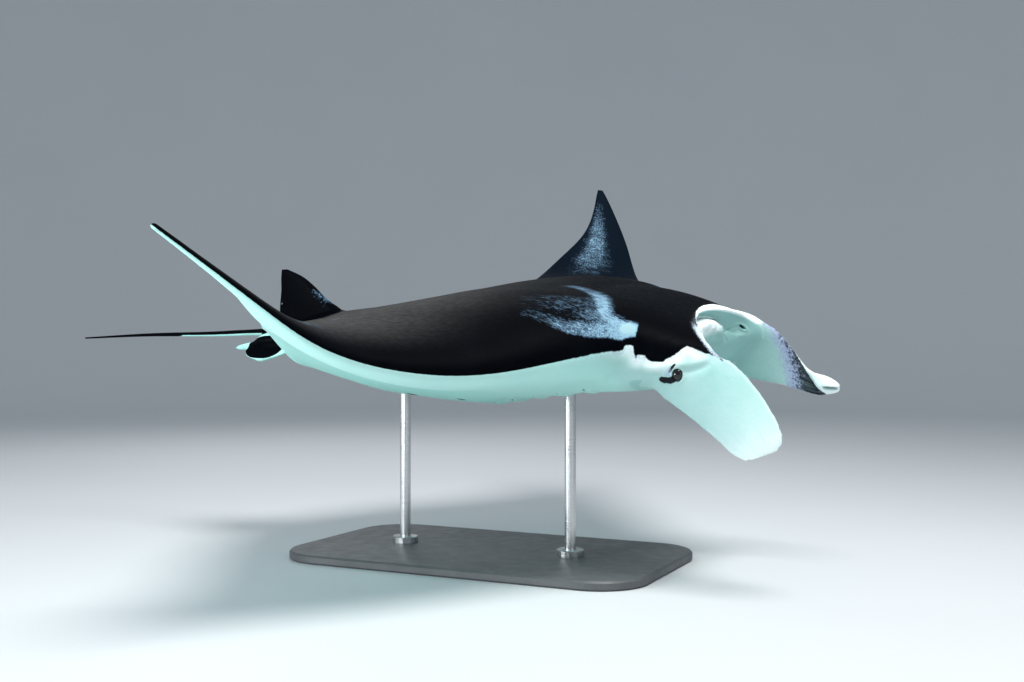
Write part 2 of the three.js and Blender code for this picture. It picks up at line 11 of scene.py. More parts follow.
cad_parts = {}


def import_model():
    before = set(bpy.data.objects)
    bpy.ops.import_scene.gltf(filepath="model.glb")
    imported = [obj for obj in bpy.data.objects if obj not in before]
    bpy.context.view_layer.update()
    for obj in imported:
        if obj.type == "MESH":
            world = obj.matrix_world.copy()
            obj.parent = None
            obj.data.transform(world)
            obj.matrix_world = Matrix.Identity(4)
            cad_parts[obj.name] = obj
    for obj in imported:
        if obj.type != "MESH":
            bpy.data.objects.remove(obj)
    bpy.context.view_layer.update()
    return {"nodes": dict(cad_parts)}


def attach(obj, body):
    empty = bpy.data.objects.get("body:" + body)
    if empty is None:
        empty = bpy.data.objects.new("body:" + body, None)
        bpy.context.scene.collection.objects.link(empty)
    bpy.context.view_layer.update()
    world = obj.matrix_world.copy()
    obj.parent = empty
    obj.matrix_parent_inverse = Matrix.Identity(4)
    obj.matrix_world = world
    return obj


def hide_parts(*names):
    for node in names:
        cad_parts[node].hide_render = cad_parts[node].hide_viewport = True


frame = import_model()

CAD = frame["nodes"]

DISC_WIDTH = 3.2  # m
BANK, NOSE_DOWN = math.radians(8.2), math.radians(0.4)
CENTRE = (0.02, -0.02, 0.76)
VOXEL = 0.005

pose = Matrix.Translation(CENTRE) @ Matrix.Rotation(BANK, 4, "X") @ Matrix.Rotation(NOSE_DOWN, 4, "Y")
POSE = np.array(pose)


def world(p):
    """Points of the animal's frame, in fractions of the disc width, in the part's frame in metres."""
    return (np.asarray(p, float) * DISC_WIDTH) @ POSE[:3, :3].T + POSE[:3, 3]


def local(p):
    return ((np.asarray(p, float) - POSE[:3, 3]) @ POSE[:3, :3]) / DISC_WIDTH


# ---------------------------------------------------------------- small maths
def through(xs, ys):
    """A smooth curve through stations."""
    xs, ys = np.array(xs, float), np.array(ys, float)
    h = np.diff(xs)
    d = np.diff(ys) / h
    m = np.concatenate([d[:1], (d[:-1] * h[1:] + d[1:] * h[:-1]) / (h[1:] + h[:-1]), d[-1:]])

    def f(x):
        x = np.clip(x, xs[0], xs[-1])
        i = np.clip(np.searchsorted(xs, x, side="right") - 1, 0, len(xs) - 2)
        t = (x - xs[i]) / h[i]
        return (
            (1 + 2 * t) * (1 - t) ** 2 * ys[i]
            + t * (1 - t) ** 2 * h[i] * m[i]
            + t * t * (3 - 2 * t) * ys[i + 1]
            + t * t * (t - 1) * h[i] * m[i + 1]
        )

    return f


def step(a, b, x):
    t = np.clip((np.asarray(x, float) - a) / (b - a), 0, 1)
    return t * t * (3 - 2 * t)


def power(x, p):
    return np.sign(x) * np.abs(x) ** p


# ---------------------------------------------------------------- the disc: body and wings in one
SPAN = [0, 0.06, 0.12, 0.2, 0.28, 0.36, 0.42, 0.47, 0.49, 0.5]
leading = through(SPAN, [0.208, 0.206, 0.1873, 0.1393, 0.0906, 0.0382, 0.0087, -0.0199, -0.0322, -0.0391])
trailing = through(SPAN, [-0.252, -0.2326, -0.2001, -0.1514, -0.1005, -0.0674, -0.0481, -0.0455, -0.0465, -0.0465])
BEAT = [0, 0.1, 0.2, 0.3, 0.4, 0.5]
bend_right = through(BEAT, [0, 7.4, 2.0, 17.2, 40.2, 46.3])
bend_left = through(BEAT, [0, 3.5, -0.8, 15.6, 44.8, 58.3])
twist_right = through(BEAT, [0, -0.3, -6.4, -15.4, -27.7, -30.0])
twist_left = through(BEAT, [0, -0.4, -6.2, -7.8, -27.8, -27.3])
THICK = np.arange(11) * 0.05
above = through(THICK, [0.057, 0.0552, 0.0522, 0.0418, 0.0306, 0.0229, 0.0162, 0.0094, 0.0047, 0.0024, 0.0012])
below = through(THICK, [0.064, 0.0597, 0.052, 0.04, 0.0288, 0.0214, 0.0155, 0.0101, 0.0053, 0.0027, 0.0012])
CHORD = [0, 0.04, 0.1, 0.2, 0.3, 0.4, 0.5, 0.6, 0.7, 0.8, 0.9, 0.96, 1]
back_curve = through(CHORD, [0, 0.49, 0.73, 0.92, 0.995, 0.967, 0.886, 0.765, 0.645, 0.535, 0.44, 0.28, 0])
belly_curve = through(CHORD, [0, 0.41, 0.62, 0.79, 0.9, 1.02, 1.01, 0.955, 0.875, 0.7, 0.5, 0.36, 0])
EDGE = 0.0012


def foil(c):
    return (0.2969 * np.sqrt(c) - 0.126 * c - 0.3516 * c**2 + 0.2843 * c**3 - 0.1036 * c**4) / 0.1


def span_table(bend, side):
    s = np.linspace(0, 0.5, 201)
    a = np.radians(bend(s))
    y = np.concatenate([[0], np.cumsum((np.cos(a[1:]) + np.cos(a[:-1])) / 2 * np.diff(s))]) * side
    z = np.concatenate([[0], np.cumsum((np.sin(a[1:]) + np.sin(a[:-1])) / 2 * np.diff(s))])
    return s, y, z


TABLE = {-1: span_table(bend_right, -1), 1: span_table(bend_left, 1)}


def disc_point(s, x, h):
    """From span s, length x and height h on the flat disc to the beating animal."""
    s, x, h = np.broadcast_arrays(np.asarray(s, float), np.asarray(x, float), np.asarray(h, float))
    a, left = np.abs(s), s >= 0
    sd = np.where(left, 1.0, -1.0)
    th = np.radians(np.where(left, bend_left(a), bend_right(a)))
    ph = np.radians(np.where(left, twist_left(a), twist_right(a)))
    t, yr, zr = TABLE[-1]
    _, yl, zl = TABLE[1]
    y = np.where(left, np.interp(a, t, yl), np.interp(a, t, yr))
    z = np.where(left, np.interp(a, t, zl), np.interp(a, t, zr))
    le = leading(a)
    axis = le - 0.35 * (le - trailing(a))
    d = x - axis
    k = d * np.sin(ph) + h * np.cos(ph)
    return np.stack([axis + d * np.cos(ph) - h * np.sin(ph), y - k * sd * np.sin(th), z + k * np.cos(th)], -1)


def disc_flat(p):
    """The other way round, for points near the body: (s, x, h)."""
    p = np.asarray(p, float)
    q = np.stack([p[:, 1], p[:, 0], p[:, 2]], -1)
    e = 1e-5
    for _ in range(12):
        f = disc_point(q[:, 0], q[:, 1], q[:, 2])
        r = f - p
        if np.abs(r).max() < 1e-9:
            break
        j = np.stack(
            [
                (disc_point(q[:, 0] + e, q[:, 1], q[:, 2]) - f) / e,
                (disc_point(q[:, 0], q[:, 1] + e, q[:, 2]) - f) / e,
                (disc_point(q[:, 0], q[:, 1], q[:, 2] + e) - f) / e,
            ],
            -1,
        )
        q = q - np.linalg.solve(j, r[..., None])[..., 0]
    return q


def disc_height(s, al, fat=0.0):
    a = np.abs(s)
    c = (1 - np.cos(al)) / 2
    body = 1 - step(0.02, 0.2, a)
    edge = (EDGE + fat) * np.sqrt(np.maximum(0, 1 - np.abs(2 * c - 1) ** 10))
    up = above(a) * ((1 - body) * foil(c) + body * back_curve(c)) + edge
    down = below(a) * ((1 - body) * foil(c) + body * belly_curve(c)) + edge
    u = np.sin(al)
    return np.where(np.abs(u) < 1e-9, 0, np.where(u > 0, up, -down)), c


def disc_ring(s, al, fat=0.0):
    h, c = disc_height(s, al, fat)
    le, te = leading(abs(s)) + fat, trailing(abs(s)) - fat
    return disc_point(s, le - c * (le - te), h)


# ---------------------------------------------------------------- meshes from rings
def loft(rings, ends=True):
    rings = np.asarray(rings, float)
    n, m = rings.shape[:2]
    pts = rings.reshape(-1, 3)
    i, j = np.meshgrid(np.arange(n - 1), np.arange(m), indexing="ij")
    k = (j + 1) % m
    quads = np.stack([i * m + j, i * m + k, (i + 1) * m + k, (i + 1) * m + j], -1).reshape(-1, 4)
    faces = [tuple(map(int, q)) for q in quads]
    if ends:
        pts = np.vstack([pts, rings[0].mean(0), rings[-1].mean(0)])
        a, b, o = n * m, n * m + 1, (n - 1) * m
        faces += [(a, (q + 1) % m, q) for q in range(m)] + [(b, o + q, o + (q + 1) % m) for q in range(m)]
    return pts, faces


def disc_part(reach, stations, around, fat=0.0):
    al = 2 * math.pi * np.arange(around) / around
    return loft([disc_ring(s, al, fat) for s in np.linspace(-reach, reach, stations)])


HEAD_X = [0.07, 0.1, 0.13, 0.15, 0.2, 0.235, 0.255, 0.27, 0.285]
head_half_width = through(HEAD_X, [0.085, 0.1, 0.109, 0.112, 0.1115, 0.107, 0.099, 0.089, 0.08])
head_middle = through(HEAD_X, [0, -0.001, -0.002, -0.003, -0.008, -0.012, -0.0085, -0.006, -0.004])
head_top = through(HEAD_X, [0.04, 0.0505, 0.054, 0.054, 0.0485, 0.0395, 0.028, 0.019, 0.0085])
head_under = through(HEAD_X, [0.036, 0.0445, 0.0455, 0.0435, 0.0342, 0.024, 0.0165, 0.01, 0.006])
MOUTH_HALF_WIDTH = 0.066


def mouth_line(cy):
    q = np.abs(cy)
    return np.stack([0.2275 + 0.01 * q**2, MOUTH_HALF_WIDTH * cy, 0.0195 - 0.006 * q**2 - 0.019 * q**4], -1)


def head_part(around, along, front):
    u = 2 * math.pi * np.arange(around) / around
    cy = power(np.cos(u), 2 / 3.2)
    q = np.abs(cy)
    up = np.sin(u) >= 0
    sz = np.where(up, power(np.sin(u), 2 / 3.6), power(np.sin(u), 2 / 2.6))
    end = np.where(up, 0.2345 + 0.039 * q**2, 0.203 + 0.0703 * q**2.2)

    def outer(v):
        x = HEAD_X[0] + (end - HEAD_X[0]) * v
        return np.stack([x, head_half_width(x) * cy, head_middle(x) + np.where(up, head_top(x), head_under(x)) * sz], -1)

    rings = [outer(math.sin(i / (along - 1) * math.pi / 2)) for i in range(along)]
    a, b = outer(1.0), mouth_line(cy)
    for i in range(1, front + 1):
        w = i / front
        r = a * (1 - w) + b * w
        r[:, 0] += np.where(up, -0.004 * math.sin(math.pi * w), 0.012 * math.sin(math.pi * w) * (1 - q**2))
        rings.append(r)
    return loft(rings)


PADDLE = [0, 0.25, 0.45, 0.65, 0.82, 1]
PADDLE_LEFT = [0, 0.25, 0.45, 0.65, 0.78, 0.82, 0.9, 1]


def edge_curve(at, rows):
    f = [through(at, [r[k] for r in rows]) for k in range(3)]
    return lambda t: np.array([g(t) for g in f], float)


CEPHALIC = {
    "right": dict(
        upper=edge_curve(PADDLE, [[0.25, -0.08, 0.0105], [0.2764, -0.089, -0.001], [0.2975, -0.0945, -0.0165], [0.317, -0.1, -0.039], [0.3303, -0.1052, -0.06], [0.3368, -0.1085, -0.0812]]),
        lower=edge_curve(PADDLE, [[0.19, -0.086, -0.023], [0.2105, -0.098, -0.0336], [0.2325, -0.1018, -0.0472], [0.2535, -0.1045, -0.0618], [0.275, -0.1073, -0.0783], [0.2962, -0.1096, -0.0973]]),
        curl=through(PADDLE, [0, 14, 20, 24, 26, 30]),
        thick=through(PADDLE, [0.024, 0.019, 0.013, 0.0105, 0.008, 0.0055]),
        narrow=0.42,
    ),
    "left": dict(
        upper=edge_curve(PADDLE_LEFT, [[0.235, 0.08, 0.022], [0.2616, 0.09, 0.0145], [0.2842, 0.0945, -0.0034], [0.3015, 0.0973, -0.0262], [0.3145, 0.0995, -0.0444], [0.3194, 0.1, -0.0479], [0.3311, 0.1, -0.0512], [0.3463, 0.1, -0.0568]]),
        lower=edge_curve(PADDLE_LEFT, [[0.19, 0.086, -0.023], [0.22, 0.096, -0.044], [0.256, 0.096, -0.056], [0.2865, 0.0962, -0.0617], [0.3086, 0.0976, -0.0682], [0.3136, 0.0982, -0.0698], [0.3246, 0.0995, -0.0724], [0.346, 0.1, -0.0712]]),
        curl=through(PADDLE_LEFT, [0, 14, 22, 30, 34, 34, 34, 30]),
        thick=through(PADDLE_LEFT, [0.024, 0.019, 0.013, 0.01, 0.008, 0.0078, 0.0075, 0.006]),
        narrow=0.6,
    ),
}
# The left fin's end is rolled in over its inner face: how much of the width the roll covers, and how far it stands up.
flap_width = through([0.6, 0.68, 0.76, 0.83, 0.875, 0.935, 1], [0, 0.03, 0.1, 0.3, 0.65, 0.92, 1.15])
flap_rise = through([0.6, 0.7, 0.8, 0.9, 1], [0, 0.0008, 0.003, 0.0052, 0.004])


def cephalic_part(which, along, around, fat=0.0):
    """Rings, and for each point its place along the fin, t, across it from the lower edge, a, and its face."""
    f, sd, n = CEPHALIC[which], (1 if which == "left" else -1), around // 2
    ts = np.concatenate([np.linspace(0, 0.9, along), 0.9 + 0.1 * np.sin(np.linspace(0, math.pi / 2, 14)[1:])])
    rings, places = [], []
    for t in ts:
        top, bottom = f["upper"](t), f["lower"](t)
        wide = top - bottom
        length = np.linalg.norm(wide)
        wide = wide / length
        mid = lambda q: f["upper"](q) + f["lower"](q)
        ahead = mid(min(1, t + 1e-3)) - mid(max(0, t - 1e-3))
        ahead = ahead / np.linalg.norm(ahead)
        inward = np.cross(ahead, wide)
        inward = inward / np.linalg.norm(inward)
        if inward[1] * -sd < 0:
            inward = -inward
        curl = math.radians(float(f["curl"](t)))
        a = np.arange(n + 1) / n
        angle = curl * (a - 0.5)
        w = np.concatenate([[0], np.cumsum((np.cos(angle[1:]) + np.cos(angle[:-1])) / 2 * length / n)])
        d = np.concatenate([[0], np.cumsum((np.sin(angle[1:]) + np.sin(angle[:-1])) / 2 * length / n)])
        end = max(0.0, (t - 0.9) / 0.1)
        rnd = math.sqrt(max(0, 1 - end * end))
        ws = (w - w[-1] / 2) * (1 - f["narrow"] * (1 - rnd)) + length / 2
        belly = np.maximum(0, np.sin(math.pi * a)) ** 0.45 * max(rnd, 0.12)
        half = (float(f["thick"](t)) / 2) * belly + fat
        rise = belly * (float(flap_rise(t)) * step(-0.1, 0.06, a - 1 + float(flap_width(t))) if which == "left" else 0.0)

        def side(face, h):
            return (
                bottom
                + (ws - face * np.sin(angle) * h)[:, None] * wide
                + (d - d.mean() + face * np.cos(angle) * h)[:, None] * inward
            )

        inner, outer = side(1, half + rise), side(-1, half)
        rings.append(np.vstack([inner, outer[n - 1 : 0 : -1]]))
        places.append(
            np.vstack(
                [
                    np.stack([np.full(n + 1, t), a, np.ones(n + 1)], -1),
                    np.stack([np.full(n - 1, t), a[n - 1 : 0 : -1], -np.ones(n - 1)], -1),
                ]
            )
        )
    return rings, places


fin_front = through([0, 0.305, 0.463, 0.719, 0.895, 1], [-0.172, -0.1926, -0.2088, -0.2271, -0.244, -0.261])
fin_rear = through([0, 0.34, 0.648, 0.886, 1], [-0.2775, -0.2759, -0.2721, -0.2706, -0.269])
FIN_FOOT, FIN_HEIGHT = 0.012, 0.0665


def dorsal_fin_part(along, around, fat=0.0):
    vs = np.concatenate([np.linspace(0, 0.9, along), 0.9 + 0.1 * np.sin(np.linspace(0, math.pi / 2, 6)[1:])])
    al = 2 * math.pi * np.arange(around) / around
    c = (1 - np.cos(al)) / 2
    rings = []
    for v in vs:
        a, b = fin_front(v) + fat, fin_rear(v) - fat
        half = 0.0052 * (1 - v) ** 0.7 + 0.0009 + fat
        y = half * (foil(c) + 0.15 * np.sqrt(np.maximum(0, 1 - (2 * c - 1) ** 8)))
        y = np.where(np.abs(np.sin(al)) < 1e-9, 0, np.where(np.sin(al) > 0, y, -y))
        rings.append(np.stack([a + (b - a) * c, y, np.full(around, FIN_FOOT + (FIN_HEIGHT + fat) * v)], -1))
    return loft(rings)


def pelvic_part(sd, along, around, fat=0.0):
    rings = []
    for v in np.linspace(0, 1, along):
        centre = np.array([-0.262 - 0.02 * v, sd * (0.006 + 0.032 * v), 0.002 - 0.0255 * v**1.15])
        half = (0.036 - 0.005 * v) * math.sqrt(max(0.02, 1 - max(0, (v - 0.45) / 0.55) ** 2.6)) + fat
        thick = 0.008 * (1 - v) ** 0.8 + 0.0014 + fat
        al = 2 * math.pi * np.arange(around) / around
        c = np.cos(al)
        off = thick * power(np.sin(al), 0.8) + 0.0045 * c * c * v
        rings.append(np.stack([centre[0] + half * c, centre[1] + sd * 0.7 * off, centre[2] + 0.714 * off], -1))
    return loft(rings)


def clasper_part(sd, along, around, fat=0.0):
    rings = []
    for v in np.linspace(0, 1, along):
        r = 0.006 * math.sqrt(max(0.015, 1 - (max(0, v - 0.45) / 0.56) ** 2)) + fat
        al = 2 * math.pi * np.arange(around) / around
        rings.append(
            np.stack(
                [np.full(around, -0.255 - 0.073 * v), sd * (0.023 - 0.002 * v) + r * np.cos(al), -0.003 - 0.008 * v + 0.8 * r * np.sin(al)],
                -1,
            )
        )
    return loft(rings)


TAIL_START, TAIL_LENGTH = -0.16, 0.425
tail_height = through([0, 0.2, 0.33, 0.5, 0.75, 1], [0.004, 0.0046, 0.005, 0.0025, 0.0006, -0.004])
tail_radius = through([0, 0.1, 0.19, 0.26, 0.33, 0.45, 0.7, 1], [0.026, 0.0225, 0.0165, 0.01, 0.0054, 0.004, 0.0026, 0.0011])


def tail_ring(v, al, fat=0.0):
    r = tail_radius(v) + fat
    return np.stack([np.full(len(al), TAIL_START - TAIL_LENGTH * v), 1.1 * r * np.cos(al), tail_height(v) + 0.85 * r * np.sin(al)], -1)


def tail_part(v1, along, around, fat=0.0):
    al = 2 * math.pi * np.arange(around) / around
    return loft([tail_ring(v, al, fat) for v in np.linspace(0, v1, along)])



# ---------------------------------------------------------------- the skin: one closed mesh
def bvh(part):
    return BVHTree.FromPolygons([Vector(p) for p in part[0]], part[1], epsilon=0)


def nearest(tree, pts, far=0.06):
    """Nearest point and distance for each point; distance is far where nothing is near."""
    out, dist = np.array(pts, float), np.full(len(pts), far)
    find = tree.find_nearest
    for i, p in enumerate(pts):
        hit = find(p, far)
        if hit[0] is not None:
            out[i], dist[i] = hit[0], hit[3]
    return out, dist


lobe = {w: cephalic_part(w, 60, 64) for w in ("right", "left")}
TRUE = {
    "disc": disc_part(0.21, 220, 260),
    "head": head_part(280, 90, 30),
    "lobe_right": loft(lobe["right"][0]),
    "lobe_left": loft(lobe["left"][0]),
    "dorsal": dorsal_fin_part(40, 80),
    "pelvic_right": pelvic_part(-1, 40, 48),
    "pelvic_left": pelvic_part(1, 40, 48),
    "clasper_right": clasper_part(-1, 30, 20),
    "clasper_left": clasper_part(1, 30, 20),
    "tail": tail_part(0.47, 90, 32),
}
FAT = 0.0009
FATTER = dict(
    TRUE,
    disc=disc_part(0.21, 220, 260, FAT),
    dorsal=dorsal_fin_part(40, 80, FAT),
    pelvic_right=pelvic_part(-1, 40, 48, FAT),
    pelvic_left=pelvic_part(1, 40, 48, FAT),
)
CUT_SPAN = 0.165  # where the wings' own grid takes over
CUT_TAIL = 0.44  # and the tail's


def remeshed(parts, voxel):
    bm_pts, bm_faces, o = [], [], 0
    for pts, faces in parts:
        bm_pts.append(np.asarray(pts) * DISC_WIDTH)
        bm_faces += [tuple(q + o for q in f) for f in faces]
        o += len(pts)
    me = bpy.data.meshes.new("union")
    me.from_pydata(np.vstack(bm_pts).tolist(), [], bm_faces)
    ob = bpy.data.objects.new("union", me)
    bpy.context.scene.collection.objects.link(ob)
    md = ob.modifiers.new("remesh", "REMESH")
    md.mode, md.voxel_size, md.adaptivity, md.use_smooth_shade = "VOXEL", voxel, 0, True
    dg = bpy.context.evaluated_depsgraph_get()
    out = bpy.data.meshes.new_from_object(ob.evaluated_get(dg))
    bpy.data.objects.remove(ob)
    co = np.zeros(len(out.vertices) * 3)
    out.vertices.foreach_get("co", co)
    faces = np.zeros(len(out.loops), int)
    out.loops.foreach_get("vertex_index", faces)
    start = np.zeros(len(out.polygons), int)
    out.polygons.foreach_get("loop_start", start)
    polys = np.split(faces, start[1:])
    bpy.data.meshes.remove(out)
    return co.reshape(-1, 3) / DISC_WIDTH, polys


def fix_winding(pts, polys):
    """True if the faces point in."""
    t = np.array([[p[0], p[1], p[2]] for p in polys] + [[p[0], p[2], p[3]] for p in polys if len(p) == 4])
    a, b, c = pts[t[:, 0]], pts[t[:, 1]], pts[t[:, 2]]
    return np.einsum("ij,ij->i", a, np.cross(b, c)).sum() < 0


def edges_of(polys):
    e = set()
    for p in polys:
        for a, b in zip(p, np.roll(p, -1)):
            e.add((a, b) if a < b else (b, a))
    return np.array(sorted(e))


def smooth(pts, edges, weight, rounds, rate=0.5):
    n = len(pts)
    deg = np.bincount(edges.ravel(), minlength=n).astype(float)[:, None]
    i, j = edges[:, 0], edges[:, 1]
    w = (weight * rate)[:, None]
    pts = pts.copy()
    for _ in range(rounds):
        acc = np.stack([np.bincount(i, pts[j, k], n) + np.bincount(j, pts[i, k], n) for k in range(3)], -1)
        pts += w * (acc / np.maximum(deg, 1) - pts)
    return pts


import time

T0 = time.time()


def note(*a):
    print("[%6.1f s]" % (time.time() - T0), *a, flush=True)


pts, polys = remeshed(list(FATTER.values()), VOXEL)
note("remeshed", len(pts), len(polys))
edges = edges_of(polys)
note("edges", len(edges))
NAMES = list(TRUE)
trees = {k: bvh(v) for k, v in TRUE.items()}
note("trees")
boxes = {k: (v[0].min(0) - 0.02, v[0].max(0) + 0.02) for k, v in TRUE.items()}
FAR = 0.02
dist = np.full((len(NAMES), len(pts)), FAR)
hits = np.repeat(pts[None], len(NAMES), 0)
for n, k in enumerate(NAMES):
    lo, hi = boxes[k]
    sel = np.where(((pts > lo) & (pts < hi)).all(1))[0]
    hits[n, sel], dist[n, sel] = nearest(trees[k], pts[sel], FAR)
note("nearest")
order = np.argsort(dist, 0)
idx = np.arange(len(pts))
first, second = order[0], order[1]
d1, d2 = dist[first, idx], dist[second, idx]
BLEND = {"disc": 0.011, "head": 0.011, "lobe_right": 0.011, "lobe_left": 0.011, "dorsal": 0.004, "tail": 0.007, "pelvic_right": 0.003, "pelvic_left": 0.003, "clasper_right": 0.002, "clasper_left": 0.002}
reach = np.minimum(np.array([BLEND[k] for k in NAMES])[first], np.array([BLEND[k] for k in NAMES])[second])
seam = 1 - step(0.35, 1.0, d2 / reach)
target = hits[first, idx]
pts = pts + (target - pts) * (1 - seam)[:, None]
pts = smooth(pts, edges, seam, 60)
pts = smooth(pts, edges, np.full(len(pts), 0.3) * (1 - seam * 0.5), 2)
note("filleted")


# The wings and the tail go on as their own regular grids, from the loops where the remeshed middle is cut.
flat = disc_flat(pts)
bm = bmesh.new()
for p in flat:
    bm.verts.new(p)
bm.verts.ensure_lookup_table()
turned = fix_winding(pts, polys)
for p in polys:
    q = [bm.verts[int(v)] for v in (p[::-1] if turned else p)]
    try:
        bm.faces.new(q)
    except ValueError:
        pass
TAIL_CUT_X = TAIL_START - TAIL_LENGTH * CUT_TAIL
loops = {}
for name, co, no in (("left", (CUT_SPAN, 0, 0), (1, 0, 0)), ("right", (-CUT_SPAN, 0, 0), (-1, 0, 0)), ("tail", (0, TAIL_CUT_X, 0), (0, -1, 0))):
    cut = bmesh.ops.bisect_plane(bm, geom=bm.verts[:] + bm.edges[:] + bm.faces[:], dist=1e-7, plane_co=co, plane_no=no, clear_outer=True)["geom_cut"]
    on = [g for g in cut if isinstance(g, bmesh.types.BMVert)]
    bmesh.ops.remove_doubles(bm, verts=on, dist=0.0003 * (VOXEL / 0.005))
    axis, at = (0, co[0]) if name != "tail" else (1, co[1])
    ring = [e for e in bm.edges if e.is_boundary and all(abs(v.co[axis] - at) < 1e-5 for v in e.verts)]
    follow = {}
    for e in ring:
        for v in e.verts:
            follow.setdefault(v, []).append(e.other_vert(v))
    start = next(iter(follow))
    walk, prev, here = [start], None, start
    while True:
        nxt = [w for w in follow[here] if w is not prev]
        if not nxt or nxt[0] is start:
            break
        prev, here = here, nxt[0]
        walk.append(here)
        if len(walk) > len(follow):
            break
    assert len(walk) == len(follow), (name, len(walk), len(follow))
    loops[name] = walk
note("cut", {k: len(v) for k, v in loops.items()})


def profile_match(walk, curve, al, cols):
    """The angle round the profile of each vertex of a loop, and the loop turned so that the angles rise."""
    p = np.array([[v.co[c] for c in cols] for v in walk])
    got = np.array([al[np.argmin(((curve - q) ** 2).sum(1))] for q in p])
    rise = np.diff(np.unwrap(got))
    if rise.sum() < 0:
        walk, got = walk[::-1], got[::-1]
    k = int(np.argmin(got))
    walk, got = walk[k:] + walk[:k], np.concatenate([got[k:], got[:k]])
    return walk, np.maximum.accumulate(got) + np.arange(len(got)) * 1e-9


def grow(walk, rings, close=True):
    """Rings of flat points joined on to a loop of the mesh."""
    last, m = walk, len(walk)
    for ring in rings:
        new = [bm.verts.new(p) for p in ring]
        for j in range(m):
            k = (j + 1) % m
            bm.faces.new((last[j], last[k], new[k], new[j]))
        last = new
    if close:
        mid = bm.verts.new(np.mean(rings[-1], 0))
        for j in range(m):
            bm.faces.new((last[j], last[(j + 1) % m], mid))


DENSE = np.linspace(0, 2 * math.pi, 6001)[:-1]
for name, sd in (("left", 1), ("right", -1)):
    h, c = disc_height(CUT_SPAN, DENSE)
    le, te = float(leading(CUT_SPAN)), float(trailing(CUT_SPAN))
    walk, al = profile_match(loops[name], np.stack([le - c * (le - te), h], -1), DENSE, (1, 2))
    m = len(al)
    even = 2 * math.pi * np.arange(m) / m
    # the even spacing starts from the point nearest the leading edge and keeps the count above and below
    top = int((al < math.pi).sum())
    even = np.concatenate([np.linspace(0, math.pi, top, endpoint=False), np.linspace(math.pi, 2 * math.pi, m - top, endpoint=False)])
    e = np.linspace(0, 1, 96)[1:]
    rings = []
    for v in e:
        s = CUT_SPAN + (0.5 - CUT_SPAN) * (1 - (1 - v) ** 1.3)
        a = al + (even - al) * float(step(0, 0.35, v))
        h, c = disc_height(s, a)
        le, te = float(leading(s)), float(trailing(s))
        rings.append(np.stack([np.full(m, sd * s), le - c * (le - te), h], -1))
    h, c = disc_height(CUT_SPAN, al)
    le, te = float(leading(CUT_SPAN)), float(trailing(CUT_SPAN))
    for v, x, z in zip(walk, le - c * (le - te), h):
        v.co = (sd * CUT_SPAN, x, z)
    grow(walk, rings)
ring = tail_ring(CUT_TAIL, DENSE)
walk, al = profile_match(loops["tail"], ring[:, 1:], DENSE, (0, 2))
m = len(al)
even = 2 * math.pi * np.arange(m) / m + al[0]
rings = []
for v in np.linspace(0, 1, 110)[1:]:
    a = al + (even - al) * min(1.0, v * 4)
    rings.append(disc_flat(tail_ring(CUT_TAIL + (1 - CUT_TAIL) * v, a)))
rings.append(disc_flat(tail_ring(1.0, even) * 0.45 + tail_ring(1.0, even).mean(0) * 0.55 + np.array([-0.0006, 0, 0])))
grow(walk, rings)
bmesh.ops.recalc_face_normals(bm, faces=bm.faces[:])
note("grown", len(bm.verts), len(bm.faces), "open edges", sum(not e.is_manifold for e in bm.edges))
# ---------------------------------------------------------------- finer mesh where the small features are
EYE_R, EYE_AT, EYE_OPEN = 0.0072, (0.2385, 0.1010, -0.0178), (0.0047, 0.0060)
MOUTH_YZ = np.array([[0, 0.0195], [0.011, 0.0191], [0.0213, 0.0182], [0.033, 0.0160], [0.0445, 0.0131], [0.0502, 0.0098], [0.0524, 0.0058], [0.0532, 0.001], [0.0557, -0.0042], [0.0607, -0.0111]])
NOSTRIL, NOSTRIL_LIE = np.array([0.2522, 0.0753, 0.0021]), np.array([0.628, 0.505, -0.591])
# gill slits on each side of the belly: middle (span, length), half length
GILLS = [(0.0745, 0.138, 0.0235), (0.0715, 0.109, 0.0235), (0.0665, 0.081, 0.022), (0.0605, 0.0545, 0.0195), (0.0545, 0.030, 0.0155)]
BROW = np.array([[0.206, -0.012], [0.217, -0.0126], [0.228, -0.0108], [0.2388, -0.0093], [0.2505, -0.0096], [0.2615, -0.0062], [0.2705, -0.0035]])


def line_points(rows, n=160):
    rows = np.asarray(rows, float)
    t = np.linspace(0, len(rows) - 1, n)
    at = np.arange(len(rows))
    return np.stack([through(at, rows[:, k])(t) for k in range(rows.shape[1])], -1)


def to_line(p, line):
    """Signed distance to a line in a plane (positive on its left) and how far along it, 0 to 1."""
    a, b = line[:-1], line[1:]
    best, side, along = np.full(len(p), 9.0), np.zeros(len(p)), np.zeros(len(p))
    for i, (u, v) in enumerate(zip(a, b)):
        e = v - u
        t = np.clip(((p - u) @ e) / (e @ e), 0, 1)
        d = p - (u + t[:, None] * e)
        r = np.hypot(d[:, 0], d[:, 1])
        c = e[0] * (p[:, 1] - u[1]) - e[1] * (p[:, 0] - u[0])
        near = r < best
        best = np.where(near, r, best)
        side = np.where(near, np.sign(c), side)
        along = np.where(near, (i + t) / len(a), along)
    return best * np.where(side == 0, 1, side), along


def inside(p, poly):
    hit = np.zeros(len(p), bool)
    a = np.asarray(poly, float)
    for u, v in zip(a, np.roll(a, -1, 0)):
        cross = (u[1] > p[:, 1]) != (v[1] > p[:, 1])
        with np.errstate(divide="ignore", invalid="ignore"):
            x = (v[0] - u[0]) * (p[:, 1] - u[1]) / (v[1] - u[1]) + u[0]
        hit ^= cross & (p[:, 0] < x)
    return hit


def across(p, line, closing):
    """Distance to a line, positive in the area that the closing points shut in with it, and the place along it, 0 to 1."""
    d, along = to_line(p, np.asarray(line, float))
    return np.where(inside(p, list(map(tuple, line)) + closing), 1.0, -1.0) * np.abs(d), along


